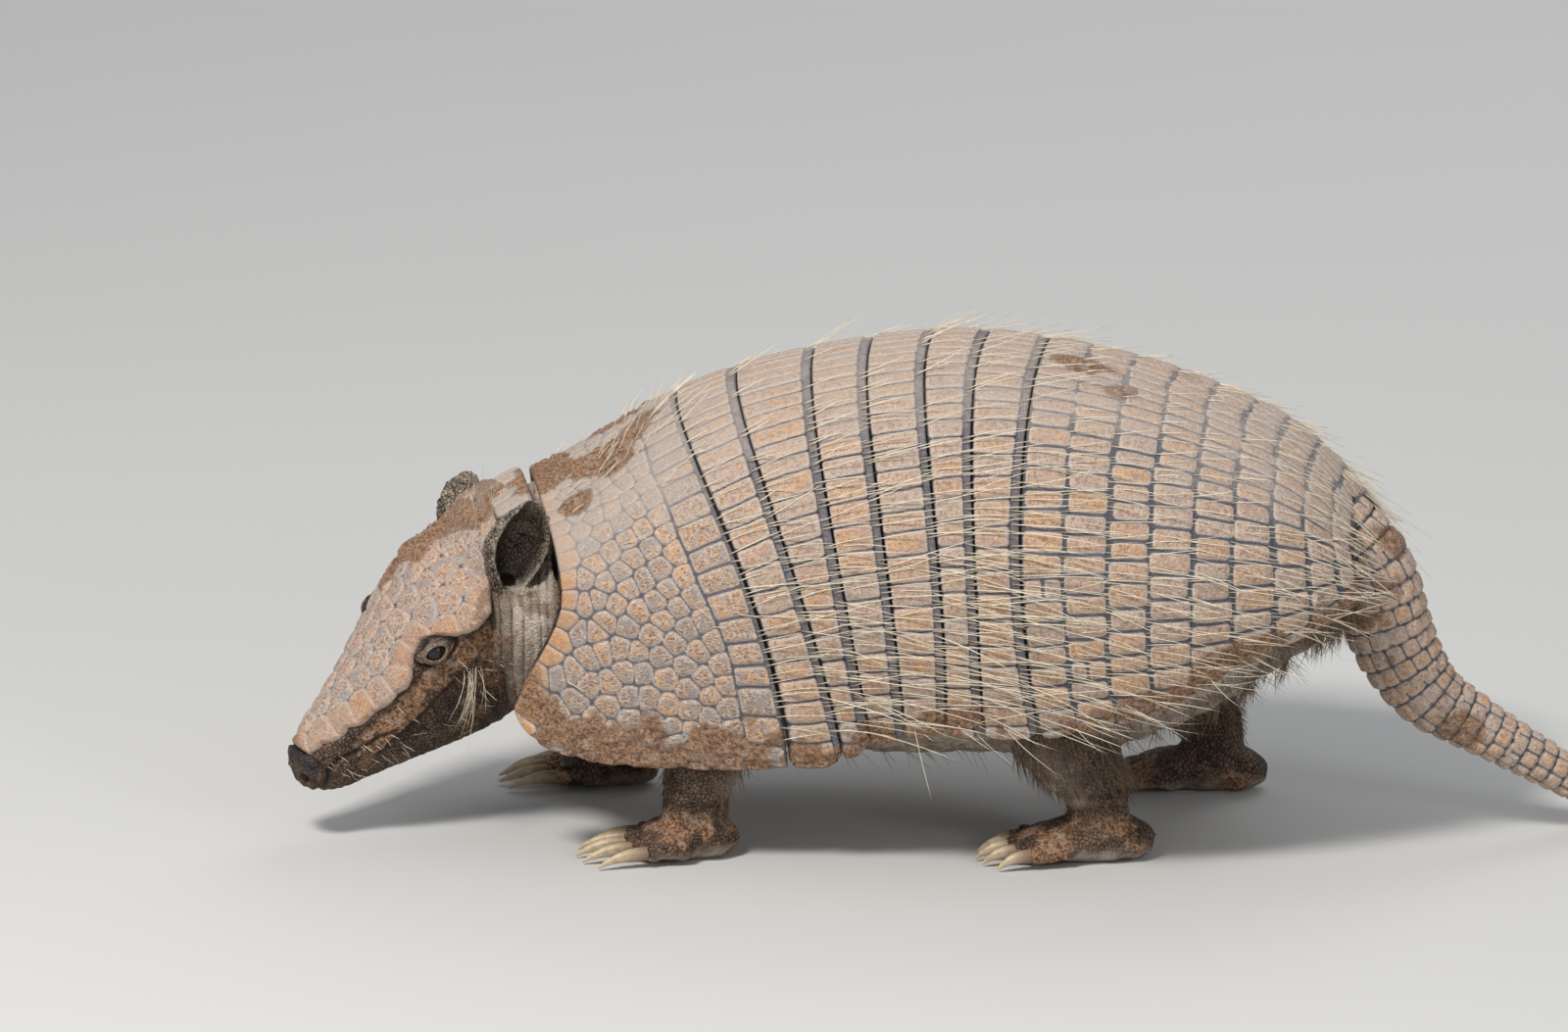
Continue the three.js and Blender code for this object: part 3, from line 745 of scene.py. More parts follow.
def shell_plate(node, kind, s0, s1, lines, columns, rows, cuts, lobes, finish, reach=EDGE_ANGLE):
    """One plate of the shell on its solid: thick, rounded at the rims and carved into scutes."""
    made = new_object(node + "_plate", slab(columns, rows, cuts), material(finish))
    mesh = made.data
    grid = places(mesh)
    u, v, top = grid[:, 0] * 2, grid[:, 1] + 0.5, grid[:, 2]
    s = lerp(s0, s1, v)
    angles, arc, _, square = station_table((s0 + s1) / 2)
    half = np.interp(reach, angles, arc)
    pull = end_lobes(s, lines, lobes)
    span = half - 0.3 - pull
    angle = np.interp(u * span, arc, angles)
    rim = np.minimum(np.minimum(s - s0, s1 - s) * np.interp(angle, angles, square), (1 - np.abs(u)) * half)
    outer = top > 0.5
    here, out, _ = shell_frames(s, angle)
    height, values, plate_map = shell_relief(kind, s, angle, here, lines)
    lifted, under = carved(here, out, height, rim, 1.0), shell_point(s, angle, SHELL)
    put_places(mesh, to_frame(np.where(outer[:, None], lifted, under)))
    values["rim"] = np.where(outer, rim, 0)
    values["edge"] = np.where(outer, values["edge"], 0)
    put_values(mesh, **values)
    put_map(mesh, "plate", plate_map)
    finish_outward(mesh)
    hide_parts(node)
    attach(made, "root")


# ---------------------------------------------------------------- head shield, tail, claws and eyes


def plate_width(along):
    """Half width of the head's plate, which stands a little over its solid."""
    return shield_width(along) + 0.6


def head_plate_point(along, share):
    """A point of the head's shield: share -1 to 1 across."""
    return head_point(along, share * plate_width(along), crown(along) - shield_drop(along) * share * share)


def head_seeds(pitch):
    """Where the head shield's scutes stand: offset files across, the outer ones along its margin."""
    rng = random(91)
    found = []
    for along in np.arange(2, HEAD["shield_end"] - 1, pitch * 0.84):
        wide = float(shield_width(along) * shield_reach(along))
        edge = wide - pitch * 0.42
        count = max(1, round(2 * edge / pitch))
        offset = rng.uniform(-0.12, 0.12)
        for side in np.linspace(-edge, edge, count + 1) if count > 1 else [0.0]:
            jitter = rng.uniform(-0.17, 0.17, 2) * pitch
            inner = abs(side) < edge - 1
            found.append((along + jitter[0] + offset, side + jitter[1] * inner))
    along, side = np.array(found).T
    return head_plate_point(along, side / plate_width(along))


def head_shield_plate():
    """The head's plate of irregular scutes, lobed along its sides."""
    made = new_object("head_shield_plate", slab(18, 30, 7), material("head horn"))
    mesh = made.data
    grid = places(mesh)
    u, v, outer = grid[:, 0] * 2, grid[:, 1] + 0.5, grid[:, 2] > 0.5
    along = lerp(-4, HEAD["shield_end"], v)
    width = plate_width(along)
    lobes = 1.5 * (1 - np.abs(np.sin(along * math.pi / 10.4 + 0.6)) ** 0.6) * smooth(along, 30, 50)
    share = u * (shield_reach(along) - lobes / width)
    step = 0.05
    here = head_plate_point(along, share)
    ahead = head_plate_point(along + step, share) - head_plate_point(along - step, share)
    aside = head_plate_point(along, share + 0.002) - head_plate_point(along, share - 0.002)
    out = unit(np.cross(aside, ahead))
    out *= np.sign((out @ HEAD_PLACE[:3, 2]).sum())
    rim = np.minimum((1 - np.abs(u)) * width * 0.97, np.minimum(along + 4, HEAD["shield_end"] - along))
    edge, number = scute_cells(here, head_seeds(sizes().head_scute * 1000), 0.6)
    edge = np.minimum(edge, rim + 0.9)
    relief = sizes().relief * 1000
    height = scute_height(edge, 1.1, relief * 0.55, 0.75)
    height += 0.3 * (per_scute(number, 8) - 0.5) + 0.24 * noise(here, 2.6, 21, 3)
    spots = [
        (head_point(17, -2, 2), (16, 12, 12), 0.75), (head_point(33, -9, 2), (15, 11, 14), 1.0),
        (head_point(46, -12, 2), (11, 9, 11), 0.85), (head_point(-2, 6, -2), (9, 12, 8), 0.8),
    ]
    soil = soil_cover(here, spots, 35)
    soil = np.maximum(soil, 0.55 * smooth(noise(here, 13, 36, 3), 0.25, 0.7))
    height = under_soil(height, soil, here, 0.25, 37)
    lifted, under = carved(here, out, height, rim, 1.7), here - out * SHELL
    put_places(mesh, to_frame(np.where(outer[:, None], lifted, under)))
    near_margin = (rim < 8.0) & (along > 28)
    put_values(
        mesh, edge=np.where(outer, edge, 0), tint=per_scute(number, 9), strip=np.zeros(len(u)), soil=soil,
        dust=0.1 + 0.5 * smooth(noise(here, 22, 38), 0, 0.8),
        bright=near_margin * (0.35 + 0.65 * per_scute(number, 10)), rim=np.where(outer, rim + 0.6, 0.6),
    )
    put_map(mesh, "plate", np.stack([along, share * width], -1) / 100)
    finish_outward(mesh)
    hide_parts("head_shield")
    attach(made, "root")


def curve_path(points):
    """A smooth path through points: its place and direction at t, 0 to 1, spaced by the points."""
    points = np.array(points, float)
    knots = np.concatenate([[0], np.cumsum(np.linalg.norm(np.diff(points, axis=0), axis=1) ** 0.5)])
    lines = [through(*zip(knots, points[:, axis])) for axis in range(3)]
    even = np.linspace(0, 1, len(points))

    def at(t):
        k = np.interp(t, even, knots)
        return np.stack([line(k) for line in lines], -1)

    def along(t):
        return unit(at(np.minimum(t + 0.004, 1)) - at(np.maximum(t - 0.004, 0)))

    return at, along


def limb_ring(stops):
    """Ring function of a limb through (place, half width, half height) stops, with its frame kept level."""
    at, along = curve_path([stop[0] for stop in stops])
    even = np.linspace(0, 1, len(stops))
    wide = through(*zip(even, [stop[1] for stop in stops]))
    high = through(*zip(even, [stop[2] for stop in stops]))

    def ring(t, angle, grow=0.0):
        forward = along(t)
        across = unit(np.array([0, 1.0, 0]) - forward * forward[..., 1:2])
        over = np.cross(across, forward)
        place = at(t) + across * (np.cos(angle) * (wide(t) + grow))[..., None]
        return place + over * (np.sin(angle) * (high(t) + grow))[..., None]

    return ring


def lay(verts, points):
    """Puts a bmesh's vertices in their places."""
    for vert, point in zip(verts, points):
        vert.co = point


def add_tube(bm, ring, sides, steps):
    """Adds a closed tube to a bmesh; ring(t, angle) gives its points in millimetres."""
    sheet = bmesh.ops.create_grid(bm, x_segments=sides, y_segments=steps, size=0.5)["verts"]
    grid = np.array([vert.co for vert in sheet])
    lay(sheet, ring(grid[:, 1] + 0.5, (grid[:, 0] + 0.5) * 2 * math.pi))
    bmesh.ops.remove_doubles(bm, verts=sheet, dist=0.001)
    sheet = [vert for vert in sheet if vert.is_valid]
    ends = list({edge for vert in sheet for edge in vert.link_edges if edge.is_boundary})
    filled = bmesh.ops.holes_fill(bm, edges=ends, sides=0)["faces"]
    around = list({face for vert in sheet for face in vert.link_faces} | set(filled))
    bmesh.ops.recalc_face_normals(bm, faces=around)


def tail_piece():
    """The tail in one length, ringed with scutes."""
    ring = limb_ring([(place, radius, radius) for place, radius in TAIL])
    at, _ = curve_path([place for place, _ in TAIL])
    fine = np.linspace(0, 1, 400)
    gone = np.concatenate([[0], np.cumsum(np.linalg.norm(np.diff(at(fine), axis=0), axis=1))])
    bm = bmesh.new()
    pitch, kept = 7.6, {}

    def shaped(t, angle):
        down = np.interp(t, fine, gone)
        stretch = down + 0.9 * down**2 / 900
        row = np.floor(stretch / pitch)
        into = stretch - row * pitch
        radius = np.interp(t, np.linspace(0, 1, len(TAIL)), [r for _, r in TAIL])
        count = np.maximum(5, np.round(2 * math.pi * radius / 7.2))
        stray = 0.15 * noise(np.stack([row * 3.3, angle * 2], -1), 2, 5)
        turn = angle / (2 * math.pi) * count + 0.5 * (row % 2) + stray
        scute = np.floor(turn)
        sides = np.minimum(turn - scute, scute + 1 - turn) * 2 * math.pi * radius / count
        edge = inward(sides, np.minimum(into, pitch - into), 1.6)
        number = (scute % count) + row * 40 + FIRST_OF_TAIL
        height = scute_height(edge, 1.1, 0.75, 0.35) + 0.3 * (per_scute(number, 12) - 0.5)
        height += 0.7 * (into / pitch - 0.5)
        height *= smooth(t, 1.0, 0.93) * smooth(radius, 2, 6)
        points = ring(t, angle, -0.4)
        out = unit(points - at(t))
        points = points + out * height[:, None]
        points[:, 2] = np.maximum(points[:, 2], 0.05)
        kept.update(points=points, edge=edge, number=number, down=down, turn=angle * radius)
        return points

    add_tube(bm, shaped, 72, 330)
    made = new_object("tail_scutes", bm, material("tail horn"))
    mesh = made.data
    made_points = places(mesh)
    finder = KDTree(len(kept["points"]))
    for i, point in enumerate(kept["points"]):
        finder.insert(point, i)
    finder.balance()
    match = np.array([finder.find(point)[1] for point in made_points])
    put_places(mesh, to_frame(made_points))
    points = kept["points"][match]
    put_values(
        mesh, edge=kept["edge"][match], tint=per_scute(kept["number"][match], 13), strip=np.zeros(len(match)),
        soil=0.75 * smooth(noise(points, 14, 41, 3), -0.05, 0.55), dust=np.full(len(match), 0.3),
        bright=np.zeros(len(match)), rim=np.full(len(match), 3.0),
    )
    put_map(mesh, "plate", np.stack([kept["down"], kept["turn"]], -1)[match] / 100)
    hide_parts(*[f"tail_{i}" for i in range(1, 5)])
    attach(made, "root")


def foot_of(name):
    return FORE_FOOT if name.startswith("front") else HIND_FOOT


def foot_place(name):
    """Maps forward, side and height on a foot to millimetres."""
    joints, _, heading = LEGS[name]
    x, y, _ = joints[2]
    turn = math.radians(heading)
    cos, sin = math.cos(turn), math.sin(turn)
    return lambda forward, side, z: (x + cos * forward - sin * side, y + sin * forward + cos * side, z)


def toe_place(name, toe):
    """Maps forward and height on one toe to millimetres."""
    foot, place = foot_of(name), foot_place(name)
    out = toe - 2
    start = foot["ball"] - 4 - out * out * foot["stagger"]
    return lambda forward, z: place(start + forward, out * (foot["spread"] + forward * 0.09), z)


def claws_piece(name):
    """A foot's five claws: curved, ridged along the top and blunt at the tip."""
    bm, foot = bmesh.new(), foot_of(name)
    t, c = foot["toe"], foot["claw"]
    for toe in range(5):
        at = toe_place(name, toe)
        ring = limb_ring([
            (at(t - 1.6, 5.5), 2.1, 2.5), (at(t + 0.4, 5.4), 2.25, 2.7), (at(t + 0.45 * c, 4.9), 1.85, 2.2),
            (at(t + 0.8 * c, 3.1), 1.1, 1.25), (at(t + c, 1.35), 0.42, 0.5),
            (at(t + c + 0.5, 1.0), 0.12, 0.14),
        ])

        def shaped(share, angle, ring=ring):
            ridge = 0.10 * np.cos(angle * 7) * smooth(share, 0.02, 0.3) * smooth(share, 1, 0.6)
            points = ring(share, angle, ridge * (np.sin(angle) > -0.2))
            points[:, 2] = np.maximum(points[:, 2], 0.25)
            return points

        add_tube(bm, shaped, 20, 26)
    made = new_object(f"claws_{name}", bm, material("claw horn"))
    mesh = made.data
    points = places(mesh)
    place = np.array(foot_place(name)(0, 0, 0))
    gone = np.linalg.norm(points[:, :2] - place[:2], axis=1)
    first = foot["ball"] + foot["toe"] - 6
    put_values(mesh, tipward=np.clip((gone - first) / (foot["claw"] + 4), 0, 1))
    put_places(mesh, to_frame(points))
    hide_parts(*[f"claw_{name}_{i}" for i in range(1, 6)])
    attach(made, "root")


def eye_axes(side):
    """Outward, long and short axes of an eye's opening."""
    turn = HEAD_PLACE[:3, :3]
    out = unit(np.array([0.16, side * 1.0, 0.10]))
    long_ = np.array([-0.91, 0, -0.41])
    long_ = unit(long_ - out * (long_ @ out))
    short = np.cross(out, long_)
    return turn @ out, turn @ long_, turn @ (short * (1 if short[2] > 0 else -1))


def eye_piece(name, side):
    """An eyeball with a bulging cornea; iris and pupil are painted from its own values."""
    bm = bmesh.new()
    bmesh.ops.create_uvsphere(bm, u_segments=64, v_segments=40, radius=EYE["radius"] - 0.15)
    made = new_object(f"eyeball_{name}", bm, material("eye"))
    mesh = made.data
    ball = places(mesh)
    out, long_, short = eye_axes(side)
    away = np.hypot(ball[:, 0], ball[:, 1])
    front = ball[:, 2] > 0
    ball[:, 2] += np.where(front, 0.5 * np.maximum(1 - (away / 3.3) ** 2, 0), 0)
    turned = ball @ np.stack([long_, short, out])
    put_values(mesh, pupil=np.where(front, away, FAR))
    put_places(mesh, to_frame(turned + eye_centre(side)))
    finish_outward(mesh)
    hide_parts(f"eye_{name}")
    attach(made, "root")


# ---------------------------------------------------------------- skin


def ear_frame(ear):
    root, tip = np.array(ear["root"], float), np.array(ear["tip"], float)
    axis = unit(tip - root)
    out = np.array(ear["open"], float)
    out = unit(out - axis * (out @ axis))
    return root, np.linalg.norm(tip - root), axis, out, np.cross(axis, out)


ear_profile = through((0, 0.42), (0.12, 0.62), (0.4, 0.98), (0.62, 1), (0.82, 0.8), (0.94, 0.5), (1, 0.32))
ear_curl = through((0, 155), (0.3, 122), (0.7, 95), (1, 62))


def ear_cup(t):
    """How far round an ear curls at t, in radians, and its radius there."""
    curl = np.radians(ear_curl(t))
    return curl, EAR_WIDTH / 2 * ear_profile(t) / np.sin(np.minimum(curl, math.pi / 2))


def ear_measure(ear, points):
    """Points by an ear's own axes: share of its length, across, towards its opening, and off its axis."""
    root, long_, axis, out, across = ear_frame(ear)
    local = points - root
    t = local @ axis / long_
    return t, local @ across, local @ out, np.linalg.norm(local - axis * (t * long_)[:, None], axis=1)


def ear_point(ear, t, share, wall):
    """A point of the ear's cup: share -1 to 1 across, wall 0 outside and 1 inside."""
    root, long_, axis, out, across = ear_frame(ear)
    curl, radius = ear_cup(t)
    angle = share * curl
    r = radius - (EAR_WALL + 0.3) * wall + 0.15
    back = np.cos(curl) * radius - np.cos(angle) * r
    point = root + axis * (long_ * t)[..., None] + across * (np.sin(angle) * r)[..., None]
    return point + out * back[..., None]


def add_ear(bm, ear):
    """Adds an ear's cup, outside and inside, to a bmesh."""
    sheet = bmesh.ops.create_grid(bm, x_segments=36, y_segments=20, size=0.5)["verts"]
    faces = list({face for vert in sheet for face in vert.link_faces})
    grown = bmesh.ops.extrude_face_region(bm, geom=faces, use_keep_orig=True)["geom"]
    top = [item for item in grown if isinstance(item, bmesh.types.BMVert)]
    for verts, wall in ((sheet, 0.0), (top, 1.0)):
        grid = np.array([vert.co for vert in verts])
        lay(verts, ear_point(ear, grid[:, 1] * 1.04 + 0.5, grid[:, 0] * 2, wall))
    around = list({face for vert in sheet + top for face in vert.link_faces})
    bmesh.ops.recalc_face_normals(bm, faces=around)


def head_section(t, angle):
    """The head's flesh: a rounded section between crown and jaw, blunt at the nose."""
    along = lerp(1, HEAD["length"], t)
    level = crown(along) - shield_drop(along) - 3
    rise = spow(np.cos(angle), 0.92)
    reach = np.where(rise > 0, crown(along) - 1.6 - level, level - jaw_height(along))
    blunt = np.sqrt(1 - np.clip((along - 123) / 5.4, 0, 1) ** 2)
    middle = (crown(along) + jaw_height(along)) / 2
    up = middle + (level + rise * reach - middle) * blunt
    return head_point(along, spow(np.sin(angle), 0.92) * skull_width(along) * blunt, up)


def under_shield(points):
    """Keeps the head's skin below the shield that lies on it."""
    along, side, up = head_local(points).T
    width = plate_width(along)
    share = np.abs(side) / width
    under = crown(along) - shield_drop(along) * share * share - 2.1
    inside = (along < HEAD["shield_end"] - 0.5) & (share < shield_reach(along) - 0.8 / width) & (along > 4)
    return head_point(along, side, np.where(inside, np.minimum(up, under), up))


def behind_ears(points):
    """Draws neck and head back behind the ears' cups, so that the cups are hollow."""
    for ear in EARS.values():
        out = ear_frame(ear)[3]
        t, x, y, away = ear_measure(ear, points)
        curl, radius = ear_cup(t)
        wall = np.cos(curl) * radius - np.sqrt(np.maximum(radius**2 - x * x, 0)) - 0.2
        wall -= 3.5 * smooth(np.abs(x), radius - 2, radius)
        room = smooth(np.abs(x), radius + 10, radius + 2) * smooth(t, 0.02, 0.2) * smooth(t, 1.7, 1.25)
        room *= away < 30
        points = points + out * (np.minimum(wall - y, 0) * room)[:, None]
    return points


def neck_section(t, angle):
    """The neck, from inside the trunk to inside the head."""
    rear, front = NECK_ENDS
    x = lerp(-137, -174, t)
    share = np.clip((x - rear) / (front - rear), -0.2, 1.05)
    top = lerp(back_height(x) - SHELL - GAP - 1.6, 106, np.maximum(share, 0) ** 3)
    bottom, wide = lerp(48, 60, share), lerp(50, 27, np.maximum(share, 0) ** 1.6)
    z = (top + bottom) / 2 + spow(np.cos(angle), 0.92) * (top - bottom) / 2
    across = spow(np.sin(angle), 0.92) * wide
    return np.stack([x + across * 0.12, side_of_back(x) - across, z], -1)


def leg_ring(name):
    """Ring function of a leg, down into its foot."""
    joints, radii, _ = LEGS[name]
    x, y, _ = joints[2]
    stops = [(joint, r * (0.82 if i < 2 else 1), r) for i, (joint, r) in enumerate(zip(joints, radii))]
    return limb_ring([*stops, ((x, y, 9), radii[2], radii[2])])


def foot_rings(name):
    """Ring functions of a foot's sole and of its five toes."""
    foot, place = foot_of(name), foot_place(name)
    heel, ball, width = foot["heel"], foot["ball"], foot["width"]
    sole = [
        (place(heel - 6, 0, 5), 4, 3.5), (place(heel, 0, 7), 10, 7.5), (place(0, 0, 8.5), 12.5, 9.5),
        (place(ball * 0.7, 0, 7), width, 7), (place(ball, 0, 5.3), width, 5.8),
        (place(ball + 2, 0, 5), width * 0.72, 4.2),
    ]
    yield limb_ring(sole)
    for toe in range(5):
        at = toe_place(name, toe)
        t = foot["toe"]
        yield limb_ring([
            (at(-5, 6), 3.5, 3.9), (at(t * 0.3, 6.2), 3.4, 4.2), (at(t * 0.62, 6.1), 3.0, 3.7),
            (at(t * 0.9, 5.8), 3.25, 3.9), (at(t + 0.8, 5.5), 2.6, 3.1),
        ])


# The skin is remeshed while spread out about HEAD_CENTRE: WARP_M times at each WARP_X, which goes to WARP_TO.
HEAD_CENTRE = np.array([0.0, -10.0, 80.0])
WARP_X = np.linspace(-330, 360, 2761)
WARP_M = lerp(2.0, 1.0, smooth(WARP_X, -158, -112))
WARP_TO = np.concatenate([[0], np.cumsum((WARP_M[1:] + WARP_M[:-1]) / 2 * np.diff(WARP_X))])


def magnify(points):
    """Spreads the head out, so that one even remesh gives it finer faces."""
    m = np.interp(points[:, 0], WARP_X, WARP_M)[:, None]
    out = (points - HEAD_CENTRE) * m + HEAD_CENTRE
    out[:, 0] = np.interp(points[:, 0], WARP_X, WARP_TO)
    return out


def shrink_back(points):
    """Undoes magnify."""
    x = np.interp(points[:, 0], WARP_TO, WARP_X)
    m = np.interp(x, WARP_X, WARP_M)[:, None]
    out = (points - HEAD_CENTRE) / m + HEAD_CENTRE
    out[:, 0] = x
    return out


def with_modifier(made, kind, **settings):
    """Applies one modifier and keeps its result as the object's mesh."""
    modifier = made.modifiers.new(kind.lower(), kind)
    for key, value in settings.items():
        setattr(modifier, key, value)
    graph = bpy.context.evaluated_depsgraph_get()
    graph.update()
    result = bpy.data.meshes.new_from_object(made.evaluated_get(graph))
    made.modifiers.clear()
    old, made.data = made.data, result
    bpy.data.meshes.remove(old)
    return result


def relax(points, pairs, rounds):
    """Evens out a surface without shrinking it much."""
    a, b = pairs.T
    count = np.maximum(np.bincount(a, minlength=len(points)) + np.bincount(b, minlength=len(points)), 1)
    for turn in range(rounds * 2):
        mean = np.stack([
            np.bincount(a, points[b, axis], len(points)) + np.bincount(b, points[a, axis], len(points))
            for axis in range(3)
        ], -1) / count[:, None]
        points = points + (mean - points) * (0.5 if turn % 2 == 0 else -0.515)
    return points


def normals_of(mesh):
    return read(mesh.vertex_normals, "vector", 3)


def pebbles(points, size, seed):
    """Rounded swellings with sharp gaps at 0."""
    return np.abs(noise(points, size, seed, 2))


def bell(value, centre, width):
    """1 at the centre, falling away smoothly on both sides."""
    return np.exp(-(((value - centre) / width) ** 2))


def socket(points, side):
    """Draws the skin round one eye into lids: a slanted opening, a rounded edge and creases."""
    out, long_, short = eye_axes(side)
    centre = eye_centre(side)
    local = points - centre
    a, b, c = local @ long_, local @ short, local @ out
    r = np.hypot(a, b)
    measure = ((np.abs(a) / 3.7) ** 1.7 + (np.abs(b) / 2.35) ** 1.7) ** (1 / 1.7)
    d = (measure - 1) * 2.7
    ball = EYE["radius"]
    lid = np.sqrt(np.maximum((ball + 0.95) ** 2 - r * r, 1.0))
    lid = lid - 0.75 * (1 - smooth(d, 0.0, 0.9)) + 0.22 * bell(d, 0.75, 0.45)
    lid -= 0.55 * bell(d, 2.1, 0.35) * np.where(b > 0, 1, 0.6)
    inside = np.sqrt(np.maximum(ball**2 - r * r, 0)) - 1.6
    target = np.where(d < 0, lerp(inside, lid, smooth(d, -0.45, 0.0)), lid)
    keep = c - bell(d, 3.6, 0.55) + 0.5 * bell(d, 4.9, 0.9)
    wrinkle = 0.22 * np.sin(d * 5.2 + 1.2 * noise(points, 4, 51)) * smooth(d, 1.0, 2.2) * smooth(d, 6.5, 4.0)
    new = lerp(target, keep, smooth(d, 2.3, 4.2)) + wrinkle
    near = (c > -3.5) & (r < 10)
    share = near * smooth(r, 10, 7.5)
    moved = points + out * ((new - c) * share)[:, None]
    return moved, np.where(near, d, FAR)


def waves(distance, period, power):
    """Rounded folds across a distance, with sharp valleys at 0."""
    return np.abs(np.sin(distance * math.pi / period)) ** power


class Relief:
    """The skin's points while its regions are worked: how far each is pushed out, and how much painted shade
    lies in its creases.
    """

    def __init__(self, points, normals):
        self.points, self.normals = points, normals
        self.along, self.side, self.up = head_local(points).T
        self.on_head = smooth(points[:, 0], -150, -160) * (self.along > 6)
        self.push, self.crease_shade = np.zeros(len(points)), np.zeros(len(points))

    def press(self, where, wave, height, sink, dark, high, low):
        """Works a pattern in: how high it stands, how deep it lies, and how much painted shade it takes where
        it falls to low.
        """
        self.push += where * (height * wave - sink)
        self.crease_shade += where * dark * smooth(wave, high, low)


def work_muzzle(skin):
    """A ridge under the eye, and the mouth between swollen lips. Returns what lies over the ridge."""
    along, up, on_head = skin.along, skin.up, skin.on_head
    ridge = -20.8 + 0.6 * noise(skin.points, 9, 61)
    over, span = smooth(up, ridge - 0.8, ridge + 1.2), smooth(along, 56, 66) * smooth(along, 110, 100)
    under = 1.3 * (1 - over) * smooth(up, -34, -24)
    skin.push += on_head * span * (1.5 * over * smooth(up, -9, -17) - under)
    # Painted shadow along the ridge's lower edge.
    skin.crease_shade += on_head * span * 0.9 * bell(up - ridge, -1.6, 1.5)
    mouth_line = [-21, -18, -15.2, -13.2, -10.2, -10.5, -14, -15]
    mouth = np.interp(along, [84, 92, 98.5, 108, 113, 118, 124, 128], mouth_line)
    lips = on_head * smooth(along, 90, 97) * bell(up, mouth, 0.8)
    skin.push -= 1.3 * lips
    swell = bell(up - mouth, 2.2, 1.2) + bell(up - mouth, -2.4, 1.3)
    skin.push += on_head * smooth(along, 96, 101) * 0.5 * swell
    # Painted shade in the mouth line.
    skin.crease_shade += lips
    return over


def work_nose(skin):
    """A granular pad, set off by a groove and parted in the middle, with two nostrils. Returns the pad."""
    along, side, up, on_head = skin.along, skin.side, skin.up, skin.on_head
    pad = on_head * smooth(along, 117.6, 119.2) * smooth(up, -15.0, -13.0)
    groove, above = bell(along, 118.8, 0.6), smooth(up, -13, -10)
    skin.push -= on_head * 0.9 * groove * above
    # Painted shade in the groove round the nose pad.
    skin.crease_shade += on_head * 0.8 * groove * above
    skin.push += pad * 0.4 + pad * 0.45 * pebbles(skin.points, 1.6, 60)
    skin.push += on_head * 0.5 * smooth(along, 118.6, 119.8) * smooth(along, 126, 121) * smooth(up, -6, 0)
    skin.push -= on_head * (along > 121) * 0.8 * bell(side, 0, 0.7) * smooth(up, -14, -10)
    for way in (1, -1):
        nostril = np.hypot((side - way * 5.2) / 1.9, (up + 7.0) / 1.6)
        hole = on_head * smooth(along, 122.5, 124) * smooth(nostril, 1.3, 0.6)
        skin.push -= 2.6 * hole
        skin.push += on_head * (along > 120) * 0.5 * bell(nostril, 1.7, 0.4)
        # Painted shade in the nostrils.
        skin.crease_shade += hole
    return pad


def work_throat_and_cheeks(skin):
    """Folds across the throat and pebbled cheeks. Returns the cheeks."""
    points, along, up = skin.points, skin.along, skin.up
    throat = skin.on_head * smooth(along, 30, 44) * smooth(along, 84, 70) * smooth(up, -22, -32)
    skin.press(throat, waves(along + 2.5 * noise(points, 11, 63), 6.5, 0.6), 0.8, 0.5, 0.7, 0.4, 0.1)
    level = crown(along) - shield_drop(along)
    cheek = skin.on_head * smooth(up, level - 2, level - 5)
    skin.press(cheek, pebbles(points, 3.1, 64), 0.55, 0.2, 0.45, 0.22, 0.05)
    return cheek


def work_limbs(skin):
    """Pebbled legs, with folds round their joints and rings on the toes."""
    points = skin.points
    limbs = smooth(points[:, 2], 82, 60) * smooth(points[:, 0], -135, -125)
    skin.press(limbs, pebbles(points * (1, 1, 0.8), 5.0, 65), 0.8, 0.3, 0.4, 0.2, 0.04)
    joint_folds = waves(points[:, 2] + 1.5 * noise(points, 9, 66), 5.2, 0.7)
    for name, (joints, _, _) in LEGS.items():
        for joint, half in ((joints[1], 9), (joints[2], 7)):
            away = np.linalg.norm(points - joint, axis=1)
            here = smooth(away, 30, 18) * smooth(np.abs(points[:, 2] - joint[2]), half + 4, half - 3)
            skin.press(here, joint_folds, 0.75, 0.45, 0.6, 0.35, 0.1)
        foot, place = foot_of(name), foot_place(name)
        centre, back = np.array(place(foot["ball"], 0, 0)), np.array(place(0, 0, 0))
        gone = (points - back) @ unit(centre - back)
        near = (np.linalg.norm(points - centre, axis=1) < 24) & (points[:, 2] < 14)
        toes = near * (gone > foot["ball"] - 1) * (skin.normals[:, 2] > 0)
        skin.push += toes * (0.3 * waves(gone, 2.9, 0.5) - 0.2)


